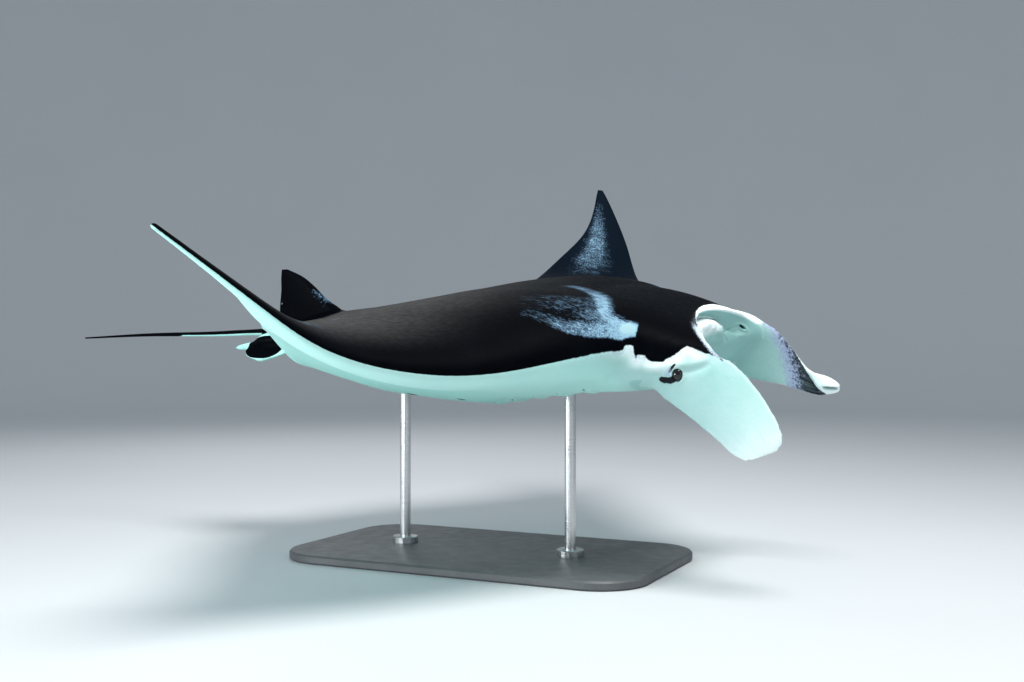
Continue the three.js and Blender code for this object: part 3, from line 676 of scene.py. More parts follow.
MOUTH_LINE = line_points(MOUTH_YZ)
ABOVE_MOUTH = [(0.12, -0.09), (0.3, -0.09), (0.3, 0.3), (-0.1, 0.3), (-0.1, 0.0195)]


def gill_place(s, x, k):
    """Place along and across a gill slit."""
    s0, x0, half = GILLS[k]
    u = (s - s0) / half
    return u, (x - x0) - 0.0028 * u - 0.0042 * u * u


def mesh_arrays():
    bm.verts.ensure_lookup_table()
    bm.verts.index_update()
    f = np.array([v.co for v in bm.verts])
    return f, disc_point(f[:, 0], f[:, 1], f[:, 2])


def refine(near):
    edges = [e for e in bm.edges if near[e.verts[0].index] and near[e.verts[1].index]]
    bmesh.ops.subdivide_edges(bm, edges=edges, cuts=1, use_grid_fill=True)


def relax(old, rounds=2):
    """Rounds off the vertices that a split has just added."""
    bm.verts.ensure_lookup_table()
    fresh = [v for v in bm.verts[old:] if v.is_valid]
    for _ in range(rounds):
        moved = []
        for v in fresh:
            ring = [e.other_vert(v).co for e in v.link_edges]
            moved.append(v.co * 0.4 + sum(ring, Vector((0, 0, 0))) * (0.6 / len(ring)))
        for v, co in zip(fresh, moved):
            v.co = co


def ellipse(p, centre, a_axis, b_axis, a, b):
    d = p - centre
    return np.sqrt(((d @ a_axis) / a) ** 2 + ((d @ b_axis) / b) ** 2)


flat, loc = mesh_arrays()
old = len(flat)
side = np.abs(loc[:, 1])
fine = (loc[:, 0] > 0.197) & (side < 0.125) & (loc[:, 2] > -0.06)
fine |= (loc[:, 0] > 0.235) & (side < 0.125)
gill_near = np.zeros(len(flat), bool)
for k in range(5):
    u, v = gill_place(np.abs(flat[:, 0]), flat[:, 1], k)
    gill_near |= (np.abs(u) < 1.15) & (np.abs(v) < 0.008) & (flat[:, 2] < 0)
refine(fine | gill_near)
relax(old)
flat, loc = mesh_arrays()
old = len(flat)
both = np.stack([loc[:, 0], np.abs(loc[:, 1]), loc[:, 2]], -1)
near_mouth = (loc[:, 0] > 0.215) & (both[:, 1] < 0.075)
d, _ = to_line(both[near_mouth][:, 1:], MOUTH_LINE)
finest = np.zeros(len(loc), bool)
finest[np.where(near_mouth)[0][np.abs(d) < 0.006]] = True
finest |= np.linalg.norm(both - NOSTRIL, axis=1) < 0.009
finest |= (np.linalg.norm(both - (0.236, 0.1055, -0.018), axis=1) < 0.0165) & (both[:, 1] > 0.098)
for k in range(5):
    u, v = gill_place(np.abs(flat[:, 0]), flat[:, 1], k)
    finest |= (np.abs(u) < 1.08) & (np.abs(v - 0.0005) < 0.0045) & (flat[:, 2] < 0)
refine(finest)
relax(old)
flat, loc = mesh_arrays()
note("refined", len(flat), int(finest.sum()))

# even out the head's small waves without shrinking it, and the lower jaw rather more
pairs = np.array([(e.verts[0].index, e.verts[1].index) for e in bm.edges])
pairs = pairs[(loc[pairs[:, 0], 0] > 0.195) & (loc[pairs[:, 1], 0] > 0.195)]
degree = np.maximum(1, np.bincount(pairs.ravel(), minlength=len(loc)))


def even_out(points, weight, rounds, give=0.5, take=-0.52):
    for r in range(rounds):
        for k in (give, take):
            total = np.stack(
                [np.bincount(pairs[:, 0], points[pairs[:, 1], c], len(points)) + np.bincount(pairs[:, 1], points[pairs[:, 0], c], len(points)) for c in range(3)], -1
            )
            points = points + (k * weight)[:, None] * (total / degree[:, None] - points)
    return points


at_tip = step(0.205, 0.225, loc[:, 0])
loc = even_out(loc, at_tip, 5)
y, z = np.abs(loc[:, 1]) / 0.0540, np.maximum(0, loc[:, 2] + 0.012) / 0.0318
jaw_r = (y**3.3 + z**3.3) ** (1 / 3.3)
in_jaw = step(1.16, 1.02, jaw_r) * step(0.200, 0.210, loc[:, 0]) * step(-0.034, -0.026, loc[:, 2])
loc = even_out(loc, in_jaw, 90, 0.6, 0.0)

# ---------------------------------------------------------------- the small features
bm.normal_update()
tri = [[v.index for v in f.verts] for f in bm.faces]
normal = np.zeros_like(loc)
for n in (3, 4):
    q = np.array([t for t in tri if len(t) == n])
    if len(q):
        a = loc[q[:, 2]] - loc[q[:, 0]]
        b = (loc[q[:, 3]] if n == 4 else loc[q[:, 1]]) - loc[q[:, 1 if n == 4 else 0]]
        c = np.cross(a, b) if n == 4 else np.cross(b, a)
        for j in range(n):
            np.add.at(normal, q[:, j], c)
normal /= np.maximum(np.linalg.norm(normal, axis=1)[:, None], 1e-12)
if np.einsum("ij,ij->i", normal, loc - np.array([0, 0, 0]))[np.argmax(loc[:, 0])] < 0:
    normal = -normal
push = np.zeros(len(loc))
carry = np.zeros_like(loc)  # moves that don't follow the normal
sd = np.where(loc[:, 1] >= 0, 1.0, -1.0)
both = loc * np.array([1, 1, 1.0])
both[:, 1] = np.abs(loc[:, 1])
both_n = normal.copy()
both_n[:, 1] *= sd
bump = lambda d, w: np.exp(-((d / w) ** 2))

# mouth: a slit under the upper lip, a slight rise of the lip above it, and the lower jaw swelling under it
i = np.where((loc[:, 0] > 0.218) & (both[:, 1] < 0.085) & (loc[:, 2] > -0.035) & (loc[:, 2] < 0.045) & (both_n[:, 0] > 0.05))[0]
d, along = across(both[i][:, 1:], MOUTH_LINE, ABOVE_MOUTH)
fade = 1 - 0.8 * step(0.55, 0.95, along)
carry[i, 0] += (-0.0030 * bump(d, 0.0009) + 0.0006 * bump(d - 0.0026, 0.0016)) * fade
slit = np.zeros(len(loc))
slit[i] = bump(d, 0.0009) * fade
# the lower jaw stands forward as a cushion with an even rounded edge
y, z = both[i, 1] / 0.0540, np.maximum(0, both[i, 2] + 0.012) / 0.0318
r = (y**3.3 + z**3.3) ** (1 / 3.3)
jaw = step(1.0, 0.80, r) ** 0.7 * step(-0.034, -0.006, both[i, 2])
carry[i] += jaw[:, None] * np.array([0.0062, 0, 0.0])

# nostrils, with a raised rim and a fine groove to the corner of the mouth
for s in (1, -1):
    i = np.where((np.linalg.norm(both - NOSTRIL, axis=1) < 0.02) & (sd == s))[0]
    m = both_n[i][np.argmin(np.linalg.norm(both[i] - NOSTRIL, axis=1))]
    lie = NOSTRIL_LIE - m * (NOSTRIL_LIE @ m)
    lie /= np.linalg.norm(lie)
    e = ellipse(both[i], NOSTRIL, lie, np.cross(m, lie), 0.0037, 0.0015)
    push[i] += -0.0034 * (1 - step(0.45, 1.2, e)) + 0.0008 * bump(e - 1.65, 0.5)
groove = line_points([[0.0722, 0.0036], [0.0672, 0.0008], [0.061, 0.0006], [0.0555, -0.001]], 40)
i = np.where((loc[:, 0] > 0.23) & (both[:, 1] < 0.08) & (both[:, 1] > 0.05) & (both_n[:, 0] > 0.2))[0]
d, along = to_line(both[i][:, 1:], groove)
push[i] += -0.0007 * bump(d, 0.0009)

# the hollow in the rolled end of the left fin
a_end, b_end = np.array([0.3290, 0.1, -0.0617]), np.array([0.3448, 0.1, -0.0637])
i = np.where((loc[:, 0] > 0.32) & (loc[:, 1] > 0.07) & (normal[:, 1] < 0.1))[0]
u = (loc[i, 0] - a_end[0]) / (b_end[0] - a_end[0])
v = loc[i, 2] - (a_end[2] + (b_end[2] - a_end[2]) * u)
depth = np.sqrt(np.clip(1 - (2 * u - 1.1) ** 2, 0, 1))
push[i] += -0.0042 * depth * step(0.0006, -0.0004, v) * step(-0.0044, -0.0012, v) + 0.0008 * depth * bump(v - 0.0016, 0.0012)

# brow: the ridge along the side of the head over the eye, and the crease under it
i = np.where((loc[:, 0] > 0.19) & (both[:, 1] > 0.08) & (loc[:, 2] > -0.04) & (both_n[:, 1] > 0.2))[0]
d, along = to_line(both[i][:, [0, 2]], line_points(BROW))
ends = step(0, 0.2, along) * (1 - step(0.85, 1.0, along))
push[i] += (0.0016 * bump(d - 0.0015, 0.004) - 0.0013 * bump(d + 0.0045, 0.0032)) * ends

# behind the eye: a small fold, the groove in it, and the dip under it
d, along = to_line(both[i][:, [0, 2]], line_points([[0.2368, -0.0085], [0.2342, -0.0116], [0.2318, -0.016]], 24))
push[i] += -0.0011 * bump(d, 0.0009)
push[i] += 0.0017 * bump(np.linalg.norm((both[i][:, [0, 2]] - (0.2303, -0.0165)) / (0.0036, 0.0034), axis=1), 1.0)
push[i] += -0.0009 * bump(np.linalg.norm((both[i][:, [0, 2]] - (0.2288, -0.0236)) / (0.0062, 0.0026), axis=1), 1.0)

# eyelids: the skin swells round the eye and turns in to a pocket behind the eyeball
EYES = {}
for s in (1, -1):
    centre = np.array(EYE_AT)
    i = np.where((np.linalg.norm(both - centre, axis=1) < 0.022) & (sd == s) & (both[:, 1] > 0.095))[0]
    k = i[np.linalg.norm(both[i] - (EYE_AT[0], 0.1055, EYE_AT[2]), axis=1) < 0.008]
    out = both_n[k].mean(0)
    out /= np.linalg.norm(out)
    fore = np.array([1.0, 0, 0]) - out * out[0]
    fore /= np.linalg.norm(fore)
    up = np.cross(out, fore)
    up *= np.sign(up[2])
    rel = both[i] - centre
    p, q, h = rel @ fore, rel @ up, rel @ out
    e = np.sqrt((p / EYE_OPEN[0]) ** 2 + (q / EYE_OPEN[1]) ** 2)
    level = h + 0.0012 * bump((e - 1) / 1.0, 1.0) + 0.0006 * bump(e - 1.22, 0.2)
    behind = np.sqrt(np.maximum(0, (EYE_R - 0.0009) ** 2 - p**2 - q**2))
    w = 1 - step(0.86, 1.06, e)
    level = level * (1 - w) + np.minimum(behind, level) * w
    move = (level - h)[:, None] * out
    move[:, 1] *= s
    carry[i] += move
    EYES[s] = (centre * (1, s, 1), out * (1, s, 1), fore * (1, s, 1), up * (1, s, 1))

# gill slits, each under the edge of the one skin fold in front of it
for k in range(5):
    u, v = gill_place(np.abs(flat[:, 0]), flat[:, 1], k)
    i = np.where((np.abs(u) < 1.15) & (np.abs(v) < 0.012) & (flat[:, 2] < 0))[0]
    fade = np.maximum(0, 1 - np.abs(u[i]) ** 4)
    push[i] += (-0.0034 * bump(v[i], 0.0011) + 0.0015 * bump(v[i] - 0.0032, 0.0022) + 0.0005 * bump(v[i] + 0.004, 0.0025)) * fade

loc = loc + normal * push[:, None] + carry
DETAIL = loc
note("features")

# ---------------------------------------------------------------- into the part's frame
bm.verts.ensure_lookup_table()
FLAT = np.array([v.co for v in bm.verts])
LOCAL = DETAIL
for v, p in zip(bm.verts, world(LOCAL)):
    v.co = p
bm.normal_update()
if bm.calc_volume(signed=True) < 0:
    bmesh.ops.reverse_faces(bm, faces=bm.faces[:])
skin_mesh = bpy.data.meshes.new("skin")
bm.to_mesh(skin_mesh)
bm.free()
skin = bpy.data.objects.new("skin", skin_mesh)
bpy.context.scene.collection.objects.link(skin)
for p in skin_mesh.polygons:
    p.use_smooth = True
note("skin", len(skin_mesh.vertices), len(skin_mesh.polygons))
FLESH = ["head", "cephalic_fin_right", "cephalic_fin_left", "dorsal_fin", "trunk", "pectoral_right_inner", "pectoral_right_outer", "pectoral_left_inner", "pectoral_left_outer", "pelvic_fin_right", "pelvic_fin_left", "tail_base", "tail_middle", "tail_tip"]
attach(skin, "root")
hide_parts(*FLESH)
# ---------------------------------------------------------------- markings: distances in the animal's own coordinates
SPAN_AT, LENGTH_AT, HEIGHT_AT = FLAT.T
SPAN_ABS = np.abs(SPAN_AT)
X, Z = LOCAL[:, 0], LOCAL[:, 2]
Y_ABS = np.abs(LOCAL[:, 1])
LEFT = SPAN_AT >= 0


def to_outline(p, poly):
    """Distance to a closed outline, positive inside."""
    a = np.asarray(poly, float)
    best = np.full(len(p), 9.0)
    for u, v in zip(a, np.roll(a, -1, 0)):
        e = v - u
        t = np.clip(((p - u) @ e) / (e @ e), 0, 1)
        best = np.minimum(best, np.hypot(*(p - (u + t[:, None] * e)).T))
    return np.where(inside(p, a), best, -best)


def arm(p, rows):
    """How strong a pale streak is: rows of place (span, length), half width, strength."""
    rows = np.asarray(rows, float)
    out = np.zeros(len(p))
    for u, v in zip(rows[:-1], rows[1:]):
        e = v[:2] - u[:2]
        t = np.clip(((p - u[:2]) @ e) / (e @ e), 0, 1)
        d = np.hypot(*(p - (u[:2] + t[:, None] * e)).T)
        w = u[2] + (v[2] - u[2]) * t
        k = u[3] + (v[3] - u[3]) * t
        out = np.maximum(out, k * (1 - step(0.25, 1.35, d / w)))
    return out


# black above, white below: the edge of the dark back. Positive is dark.
dark = HEIGHT_AT + 0.0004
# Along the side of the head the lower edge steps and curls; line in (length, height).
LOWER_EDGE = np.array([
    (0.150, -0.0006), (0.170, -0.001), (0.1888, -0.0020), (0.1909, -0.0006), (0.1916, 0.0016), (0.194, 0.0028), (0.1975, 0.0031), (0.1996, 0.0019), (0.2002, -0.0013),
    (0.2006, -0.005), (0.2021, -0.0092), (0.2041, -0.0059), (0.2069, -0.0063), (0.2107, -0.0067), (0.2134, -0.0104), (0.2171, -0.0118), (0.2217, -0.0122),
    (0.2271, -0.0122), (0.2298, -0.0099), (0.2333, -0.0081), (0.2376, -0.0055), (0.2409, -0.0033), (0.2431, -0.0004), (0.247, 0.0012), (0.2512, 0.0001),
    (0.2555, -0.0023), (0.2598, -0.0046), (0.2651, -0.0065), (0.2702, -0.0078), (0.2746, -0.0098), (0.2775, -0.0118), (0.2900, -0.0180),
])
# The edge along the rim of the mouth, from the middle out and down the cheek, on the right and on the left.
RIM_RIGHT = np.array([(0.300, -0.0235), (0.2772, -0.0105), (0.2735, -0.0062), (0.2667, -0.0012), (0.2639, 0.0011), (0.2604, 0.0028), (0.2567, 0.0051), (0.253, 0.0085), (0.2488, 0.0127), (0.2459, 0.0168), (0.2412, 0.021), (0.2349, 0.0253), (0.2296, 0.0291), (0.2262, 0.031), (0.2262, 0.07)])
RIM_LEFT = np.array([(0.300, -0.0235), (0.2772, -0.0105), (0.2735, -0.0062), (0.2667, -0.0012), (0.2600, 0.0048), (0.2515, 0.0104), (0.2445, 0.0162), (0.2382, 0.0212), (0.2342, 0.0257), (0.2302, 0.0287), (0.2280, 0.0310), (0.2272, 0.0322), (0.2272, 0.07)])
RIM_BACK = through([-0.1, -0.0876, -0.0784, -0.0671, -0.0545, -0.0413, -0.0214, 0, 0.0212, 0.0405, 0.0577, 0.0682, 0.0836, 0.095, 0.11], [0.266, 0.2567, 0.2488, 0.2459, 0.2412, 0.2349, 0.2305, 0.2286, 0.2272, 0.2280, 0.2302, 0.2342, 0.2379, 0.2442, 0.252])
at = np.where((X > 0.13) & (SPAN_ABS < 0.16))[0]
xh = np.stack([LENGTH_AT, HEIGHT_AT], -1)[at]
low, _ = across(xh, LOWER_EDGE, [(0.29, 0.2), (0.15, 0.2)])
w = step(0.15, 0.165, LENGTH_AT[at]) * (1 - step(0.118, 0.135, SPAN_ABS[at]))
on_side = dark[at] * (1 - w) + low * w
rim_r, _ = across(xh, RIM_RIGHT, [(0.1, 0.07), (0.1, -0.05)])
rim_l, _ = across(xh, RIM_LEFT, [(0.1, 0.07), (0.1, -0.05)])
rim_top = RIM_BACK(SPAN_AT[at]) - LENGTH_AT[at]
w = step(0.03, 0.05, SPAN_ABS[at])
rim_left = rim_top * (1 - w) + rim_l * w
# on the right the black runs right up to the edge of the mouth, which a paler breath follows
from mathutils.kdtree import KDTree

u = np.radians(np.linspace(-8, 188, 500))
rim_cy = power(np.cos(u), 2 / 3.2)
x = 0.2345 + 0.039 * rim_cy**2
RIDGE = np.stack([x, head_half_width(x) * rim_cy, head_middle(x) + np.where(u < 0, -0.004, head_top(x) * power(np.maximum(0, np.sin(u)), 2 / 3.6))], -1)
tree = KDTree(len(RIDGE))
for i, p in enumerate(RIDGE):
    tree.insert(p, i)
tree.balance()
ridge_at, ridge_cy = np.full(len(FLAT), 1.0), np.zeros(len(FLAT))
for i in np.where((X > 0.215) & (Y_ABS < 0.1) & (Z > -0.03))[0]:
    _, j, ridge_at[i] = tree.find(LOCAL[i])
    ridge_cy[i] = abs(rim_cy[j])
rim_width = through([0, 0.12, 0.25, 0.4, 0.55, 1.0], [0.0062, 0.0046, 0.0030, 0.0018, 0.0009, 0.0007])
rim_right = np.minimum(ridge_at[at] - rim_width(ridge_cy[at]), rim_r + 0.010 * step(0.274, 0.262, X[at]) + 0.0005 - 0.0040 * step(0.2765, 0.2825, X[at]))
dark[at] = np.minimum(on_side, np.where(LEFT[at], rim_left, rim_right))
breath_right = through([0, 0.4, 0.55, 0.65, 0.8, 0.93, 1.0], [0.35, 0.40, 0.55, 0.9, 1.1, 1.05, 0.75])(ridge_cy)
breath_right *= np.where(ridge_cy > 0.5, step(0.0004, 0.0022, ridge_at) * step(0.0125, 0.0045, ridge_at), step(0.0095, 0.003, ridge_at))
breath = np.where(LEFT, 0.62 * step(0.0100, 0.0030, ridge_at), breath_right)
# the inside of the mouth funnel and of the cephalic fins is pale
inward = normal[:, 1] * -np.sign(LOCAL[:, 1])
xc = np.clip(X, 0.07, 0.285)
shell = (Y_ABS / head_half_width(xc)) ** 3.2 + (np.maximum(0, Z - head_middle(xc)) / head_top(xc)) ** 3.6
to_axis = -(normal[:, 1] * LOCAL[:, 1] + normal[:, 2] * (Z - 0.005)) / np.maximum(np.hypot(LOCAL[:, 1], Z - 0.005), 1e-6)
in_mouth = (shell < 0.9) | ((to_axis > 0.12) & (X > 0.226))
middle = in_mouth | (LEFT & (LENGTH_AT > RIM_BACK(SPAN_AT)))
funnel = (X > 0.222) & (((Y_ABS < 0.078) & middle) | ((X > 0.24) & (inward > -0.12) & (normal[:, 2] < 0.75)))
funnel |= (X > 0.19) & (shell < 0.88) & (normal[:, 0] > 0.05)
dark = np.where(funnel, np.minimum(dark, -0.009), dark)
breath = np.where(funnel, 0, breath)
# the edge is ragged on the head and shoulders and clean along the wings
ragged = 0.2 + 0.8 * step(0.10, 0.15, LENGTH_AT) * step(0.20, 0.13, SPAN_ABS)
note("dark edge")

# shoulder patches
flat2 = np.stack([SPAN_ABS, LENGTH_AT], -1)
patch_and_sheen = np.zeros(len(FLAT))
up = np.where((HEIGHT_AT > 0.002) & (SPAN_ABS < 0.2) & (LENGTH_AT > 0.02))[0]
ARM_IN = [(0.1062, 0.1965, 0.0060, 1.15), (0.1075, 0.1900, 0.0085, 1.05), (0.1100, 0.1825, 0.0105, 0.96), (0.1110, 0.1762, 0.0112, 0.88), (0.1065, 0.1696, 0.0115, 0.86), (0.0950, 0.1636, 0.0120, 0.90), (0.0790, 0.1560, 0.0122, 0.84), (0.0620, 0.1462, 0.0125, 0.74), (0.0457, 0.1340, 0.0125, 0.62), (0.0300, 0.1180, 0.0125, 0.54), (0.0190, 0.1010, 0.0120, 0.46), (0.0110, 0.0780, 0.0100, 0.0)]
ARM_OUT = [(0.1060, 0.1975, 0.0070, 1.15), (0.1103, 0.1886, 0.0085, 1.0), (0.1234, 0.1784, 0.0098, 0.86), (0.1380, 0.1694, 0.0105, 0.78), (0.1498, 0.1594, 0.0110, 0.70), (0.1568, 0.1484, 0.0112, 0.60), (0.1586, 0.1361, 0.0112, 0.46), (0.1586, 0.1241, 0.0110, 0.36), (0.1603, 0.1118, 0.0100, 0.26), (0.1628, 0.0980, 0.0090, 0.0)]
BETWEEN = [(0.108, 0.181, 0.013, 0.70), (0.117, 0.172, 0.015, 0.66), (0.124, 0.163, 0.014, 0.46), (0.132, 0.151, 0.014, 0.34), (0.140, 0.135, 0.013, 0.0)]
WASH = [(0.100, 0.154, 0.020, 0.46), (0.112, 0.146, 0.026, 0.38), (0.122, 0.130, 0.028, 0.30), (0.128, 0.110, 0.028, 0.22), (0.130, 0.085, 0.024, 0.0)]
patch_and_sheen[up] = np.maximum(arm(flat2[up], ARM_IN), arm(flat2[up], ARM_OUT))
patch_and_sheen[up] = np.maximum(np.maximum(patch_and_sheen[up], arm(flat2[up], BETWEEN)), arm(flat2[up], WASH))
# a black strip parts it from the pale side
FOOT = line_points([(0.205, 0.0096), (0.1996, 0.0102), (0.1935, 0.0090), (0.1890, 0.0072), (0.1849, 0.0084), (0.1798, 0.0110), (0.1695, 0.0136), (0.1593, 0.0176), (0.1479, 0.0222), (0.1373, 0.0272), (0.125, 0.031), (0.105, 0.0345)], 60)
foot, _ = to_line(np.stack([LENGTH_AT, HEIGHT_AT], -1)[up], FOOT)
patch_and_sheen[up] *= step(-0.0012, 0.0020, -foot)
blob = to_outline(flat2[up], [(0.1049, 0.1861), (0.1012, 0.1926), (0.1025, 0.1970), (0.1039, 0.1998), (0.1064, 0.1990), (0.1078, 0.2004), (0.1093, 0.2013), (0.1103, 0.1940), (0.1123, 0.1879), (0.1109, 0.1844)])
patch_and_sheen[up] = np.maximum(patch_and_sheen[up], step(-0.0028, 0.0022, blob) * 1.3 * step(-0.0012, 0.0012, -foot))
# the sharp front end of the patch; on the left it stays out on the shoulder
patch_and_sheen[up] *= 1 - step(0.2005, 0.2022, LENGTH_AT[up])
patch_and_sheen[up] *= np.where(LEFT[up], step(0.078, 0.1, SPAN_ABS[up]), 1.0)
note("patch_and_sheen")

# dark band along the upper edge of each cephalic fin's inner face, with a pale roll beyond it on the left
band_and_fold_light = np.full(len(FLAT), -0.02)
fin = np.where((X > 0.262) & (Y_ABS > 0.07))[0]
xh = np.stack([LENGTH_AT, HEIGHT_AT], -1)[fin]
BAND_IN = line_points([(0.2665, 0.0020), (0.2716, -0.0080), (0.2775, -0.0215), (0.2838, -0.0368), (0.2890, -0.0525), (0.2945, -0.0690), (0.2970, -0.0780)], 60)
BAND_OUT = line_points([(0.2725, 0.0072), (0.2822, -0.0014), (0.2915, -0.0125), (0.2994, -0.0252), (0.3050, -0.0346), (0.3118, -0.0466), (0.3178, -0.0566), (0.3240, -0.0650), (0.3318, -0.0722), (0.339, -0.0800)], 60)
d_in, _ = to_line(xh, BAND_IN)
d_out, down_it = to_line(xh, BAND_OUT)
inner = np.einsum("ij,ij->i", normal, np.stack([np.zeros(len(FLAT)), -np.sign(LOCAL[:, 1]), np.zeros(len(FLAT))], -1))[fin]
inside_band = np.minimum(d_in, -d_out)
band_and_fold_light[fin] = np.where(inner > -0.15, inside_band, -0.02)
band_and_fold_depth = np.zeros(len(FLAT))
# lavender where it starts, nearly all black towards the end of the fin
band_and_fold_depth[fin] = np.clip(d_in / np.maximum(d_in - d_out, 1e-4), 0, 1) + through([0, 0.3, 0.5, 0.7, 1], [-0.36, -0.24, -0.06, 0.22, 0.38])(down_it)
note("band_and_fold_light", float(band_and_fold_light.max()))


def attribute(name, values):
    a = skin_mesh.attributes.new(name, "FLOAT", "POINT")
    a.data.foreach_set("value", np.ascontiguousarray(values, dtype=np.float32))


# pelvic fins: dark on top, inside a pale rim
for s in (1, -1):
    y = LOCAL[:, 1] * s
    v = (y - 0.006) / 0.032
    cx = -0.262 - 0.02 * v
    zc = 0.002 - 0.0255 * np.clip(v, 0, 1) ** 1.15
    half = (0.036 - 0.005 * v) * np.sqrt(np.clip(1 - np.maximum(0, (v - 0.45) / 0.55) ** 2.6, 0.02, 1))
    at = np.where((v > 0.12) & (v < 1.2) & (np.abs(X - cx) < 0.045) & (np.abs(Z - zc) < 0.014) & (X < -0.215) & (SPAN_ABS > 0.0165))[0]
    facing = normal[at] @ np.array([0, 0.7 * s, 0.714])
    rim = np.minimum(half[at] - np.abs(X[at] - cx[at] - 0.002), (0.97 - v[at]) * 0.034) - 0.0032
    dark[at] = np.where(facing > 0, rim, -0.004)
    # seen from the side the fin is a black cup in a thin pale rim
    at = np.where((Y_ABS > 0.0135) & (LOCAL[:, 1] * s > 0) & (X < -0.225) & (X > -0.33) & (Z < 0.006) & (Z > -0.03) & (SPAN_ABS < 0.05))[0]
    facing = normal[at] @ np.array([0, 0.7 * s, 0.714])
    cup = (1 - np.hypot((X[at] + 0.2815) / 0.0265, (Z[at] + 0.0085) / 0.0118)) * 0.0118
    k = (facing > -0.05) & (cup > -0.004)
    dark[at[k]] = cup[k]
# claspers are pale, the tail dark above and, past two thirds, all round
at = (np.abs(X + 0.295) < 0.045) & (np.abs(Y_ABS - 0.022) < 0.0085) & (np.abs(Z + 0.007) < 0.0095) & (Z < 0.0025)
dark[at & (dark > -0.05) & (SPAN_ABS < 0.031) & (X < -0.304)] = -0.0004
tail_v = (TAIL_START - X) / TAIL_LENGTH
at = X < -0.3
on_tail = at & (Y_ABS < 0.013) & (np.abs(Z - tail_height(np.clip(tail_v, 0, 1))) < 0.012)
dark[on_tail] = np.where(tail_v[on_tail] > 0.62, np.maximum(dark[on_tail], (tail_v[on_tail] - 0.635) * 0.1), (Z - tail_height(np.clip(tail_v, 0, 1)))[on_tail] + 0.0006)

# dorsal fin: a grey streak behind its leading edge and a pale fleck at its rear base
at = np.where((Y_ABS < 0.012) & (Z > 0.028) & (X < -0.16))[0]
streak = arm(LOCAL[at][:, [0, 2]], [(-0.2350, 0.0600, 0.0020, 0.15), (-0.2270, 0.0545, 0.0026, 0.34), (-0.2180, 0.0482, 0.0030, 0.46), (-0.2090, 0.0428, 0.0030, 0.62), (-0.2000, 0.0385, 0.0026, 0.3)])
haze = arm(LOCAL[at][:, [0, 2]], [(-0.2290, 0.0540, 0.0045, 0.14), (-0.2200, 0.0470, 0.0070, 0.22), (-0.2110, 0.0410, 0.0080, 0.26), (-0.2010, 0.0360, 0.0070, 0.0)])
patch_and_sheen[at] = np.maximum(patch_and_sheen[at], np.maximum(streak, haze))
fleck = arm(LOCAL[at][:, [0, 2]], [(-0.2722, 0.0385, 0.0011, 1.1), (-0.2705, 0.041, 0.0008, 0.3)])
patch_and_sheen[at] = np.maximum(patch_and_sheen[at], fleck)
# painted sheen: a faint pale line on the hind part of each wing, beside the tail
at = np.where((HEIGHT_AT > 0) & (SPAN_ABS > 0.16) & (SPAN_ABS < 0.25))[0]
patch_and_sheen[at] = np.maximum(patch_and_sheen[at], arm(flat2[at], [(0.224, -0.069, 0.003, 0.25), (0.197, -0.065, 0.003, 0.45), (0.186, -0.055, 0.003, 0.4), (0.180, -0.041, 0.003, 0.2)]))

# spots: pigment by the eye, painted shade along the groove behind it, dark rims of the lids, and the spots of the belly
spots_and_shadow = np.full(len(FLAT), -0.02)
at = np.where((X > 0.2) & (Y_ABS > 0.09) & (Z < 0.01))[0]
xh = np.stack([LENGTH_AT, HEIGHT_AT], -1)[at]
# the broad row is the pigment crescent below and behind the eye; the narrow one is painted shade along the groove
# behind the eye
for rows, wide, taper in (([(0.2245, -0.0293), (0.2269, -0.0297), (0.2293, -0.0296), (0.2322, -0.0297), (0.2351, -0.0283), (0.2362, -0.0268)], 0.0034, 0.16), ([(0.2374, -0.0146), (0.2352, -0.0170), (0.2328, -0.0214)], 0.0012, 0.3)):
    d, along = to_line(xh, line_points(rows, 30))
    spots_and_shadow[at] = np.maximum(spots_and_shadow[at], wide * (1 - taper * np.abs(2 * along - 1) ** 2.5) - np.abs(d))
# painted highlight: a pale blue wedge on the small fold between them, behind the eye
wedge = to_outline(xh, [(0.2265, -0.0250), (0.2279, -0.0203), (0.2313, -0.0180), (0.2346, -0.0180), (0.2346, -0.0242), (0.2313, -0.0265), (0.2284, -0.0264)])
band_and_fold_light[at] = np.maximum(band_and_fold_light[at], wedge - 0.0003)
band_and_fold_depth[at] = np.where(wedge > -0.003, 0.08, band_and_fold_depth[at])
for s in (1, -1):
    centre, out, fore, up = EYES[s]
    k = np.where(np.linalg.norm(LOCAL - centre, axis=1) < 0.014)[0]
    rel = LOCAL[k] - centre
    e = np.sqrt(((rel @ fore) / EYE_OPEN[0]) ** 2 + ((rel @ up) / EYE_OPEN[1]) ** 2)
    spots_and_shadow[k] = np.maximum(spots_and_shadow[k], (0.97 - e) * 0.0048)
BELLY_SPOTS = [
    (0.022, 0.118, 0.0075), (-0.031, 0.092, 0.0090), (0.034, 0.068, 0.0060), (-0.012, 0.052, 0.0055), (0.018, 0.030, 0.0085), (-0.030, 0.022, 0.0065),
    (0.004, -0.004, 0.0050), (0.041, -0.010, 0.0070), (-0.046, -0.022, 0.0095), (0.014, -0.040, 0.0060), (-0.018, -0.058, 0.0075), (0.055, -0.052, 0.0055),
    (-0.070, -0.060, 0.0065), (0.032, -0.084, 0.0085), (-0.044, -0.098, 0.0060), (0.078, -0.030, 0.0050), (-0.084, 0.006, 0.0050), (0.062, -0.105, 0.0060),
]
under = np.where((HEIGHT_AT < -0.004) & (SPAN_ABS < 0.12))[0]
fs = np.stack([SPAN_AT, LENGTH_AT], -1)[under]
for s0, x0, r in BELLY_SPOTS:
    d = np.hypot((fs[:, 0] - s0) * 1.15, fs[:, 1] - x0)
    spots_and_shadow[under] = np.maximum(spots_and_shadow[under], (r - d) * 0.55)
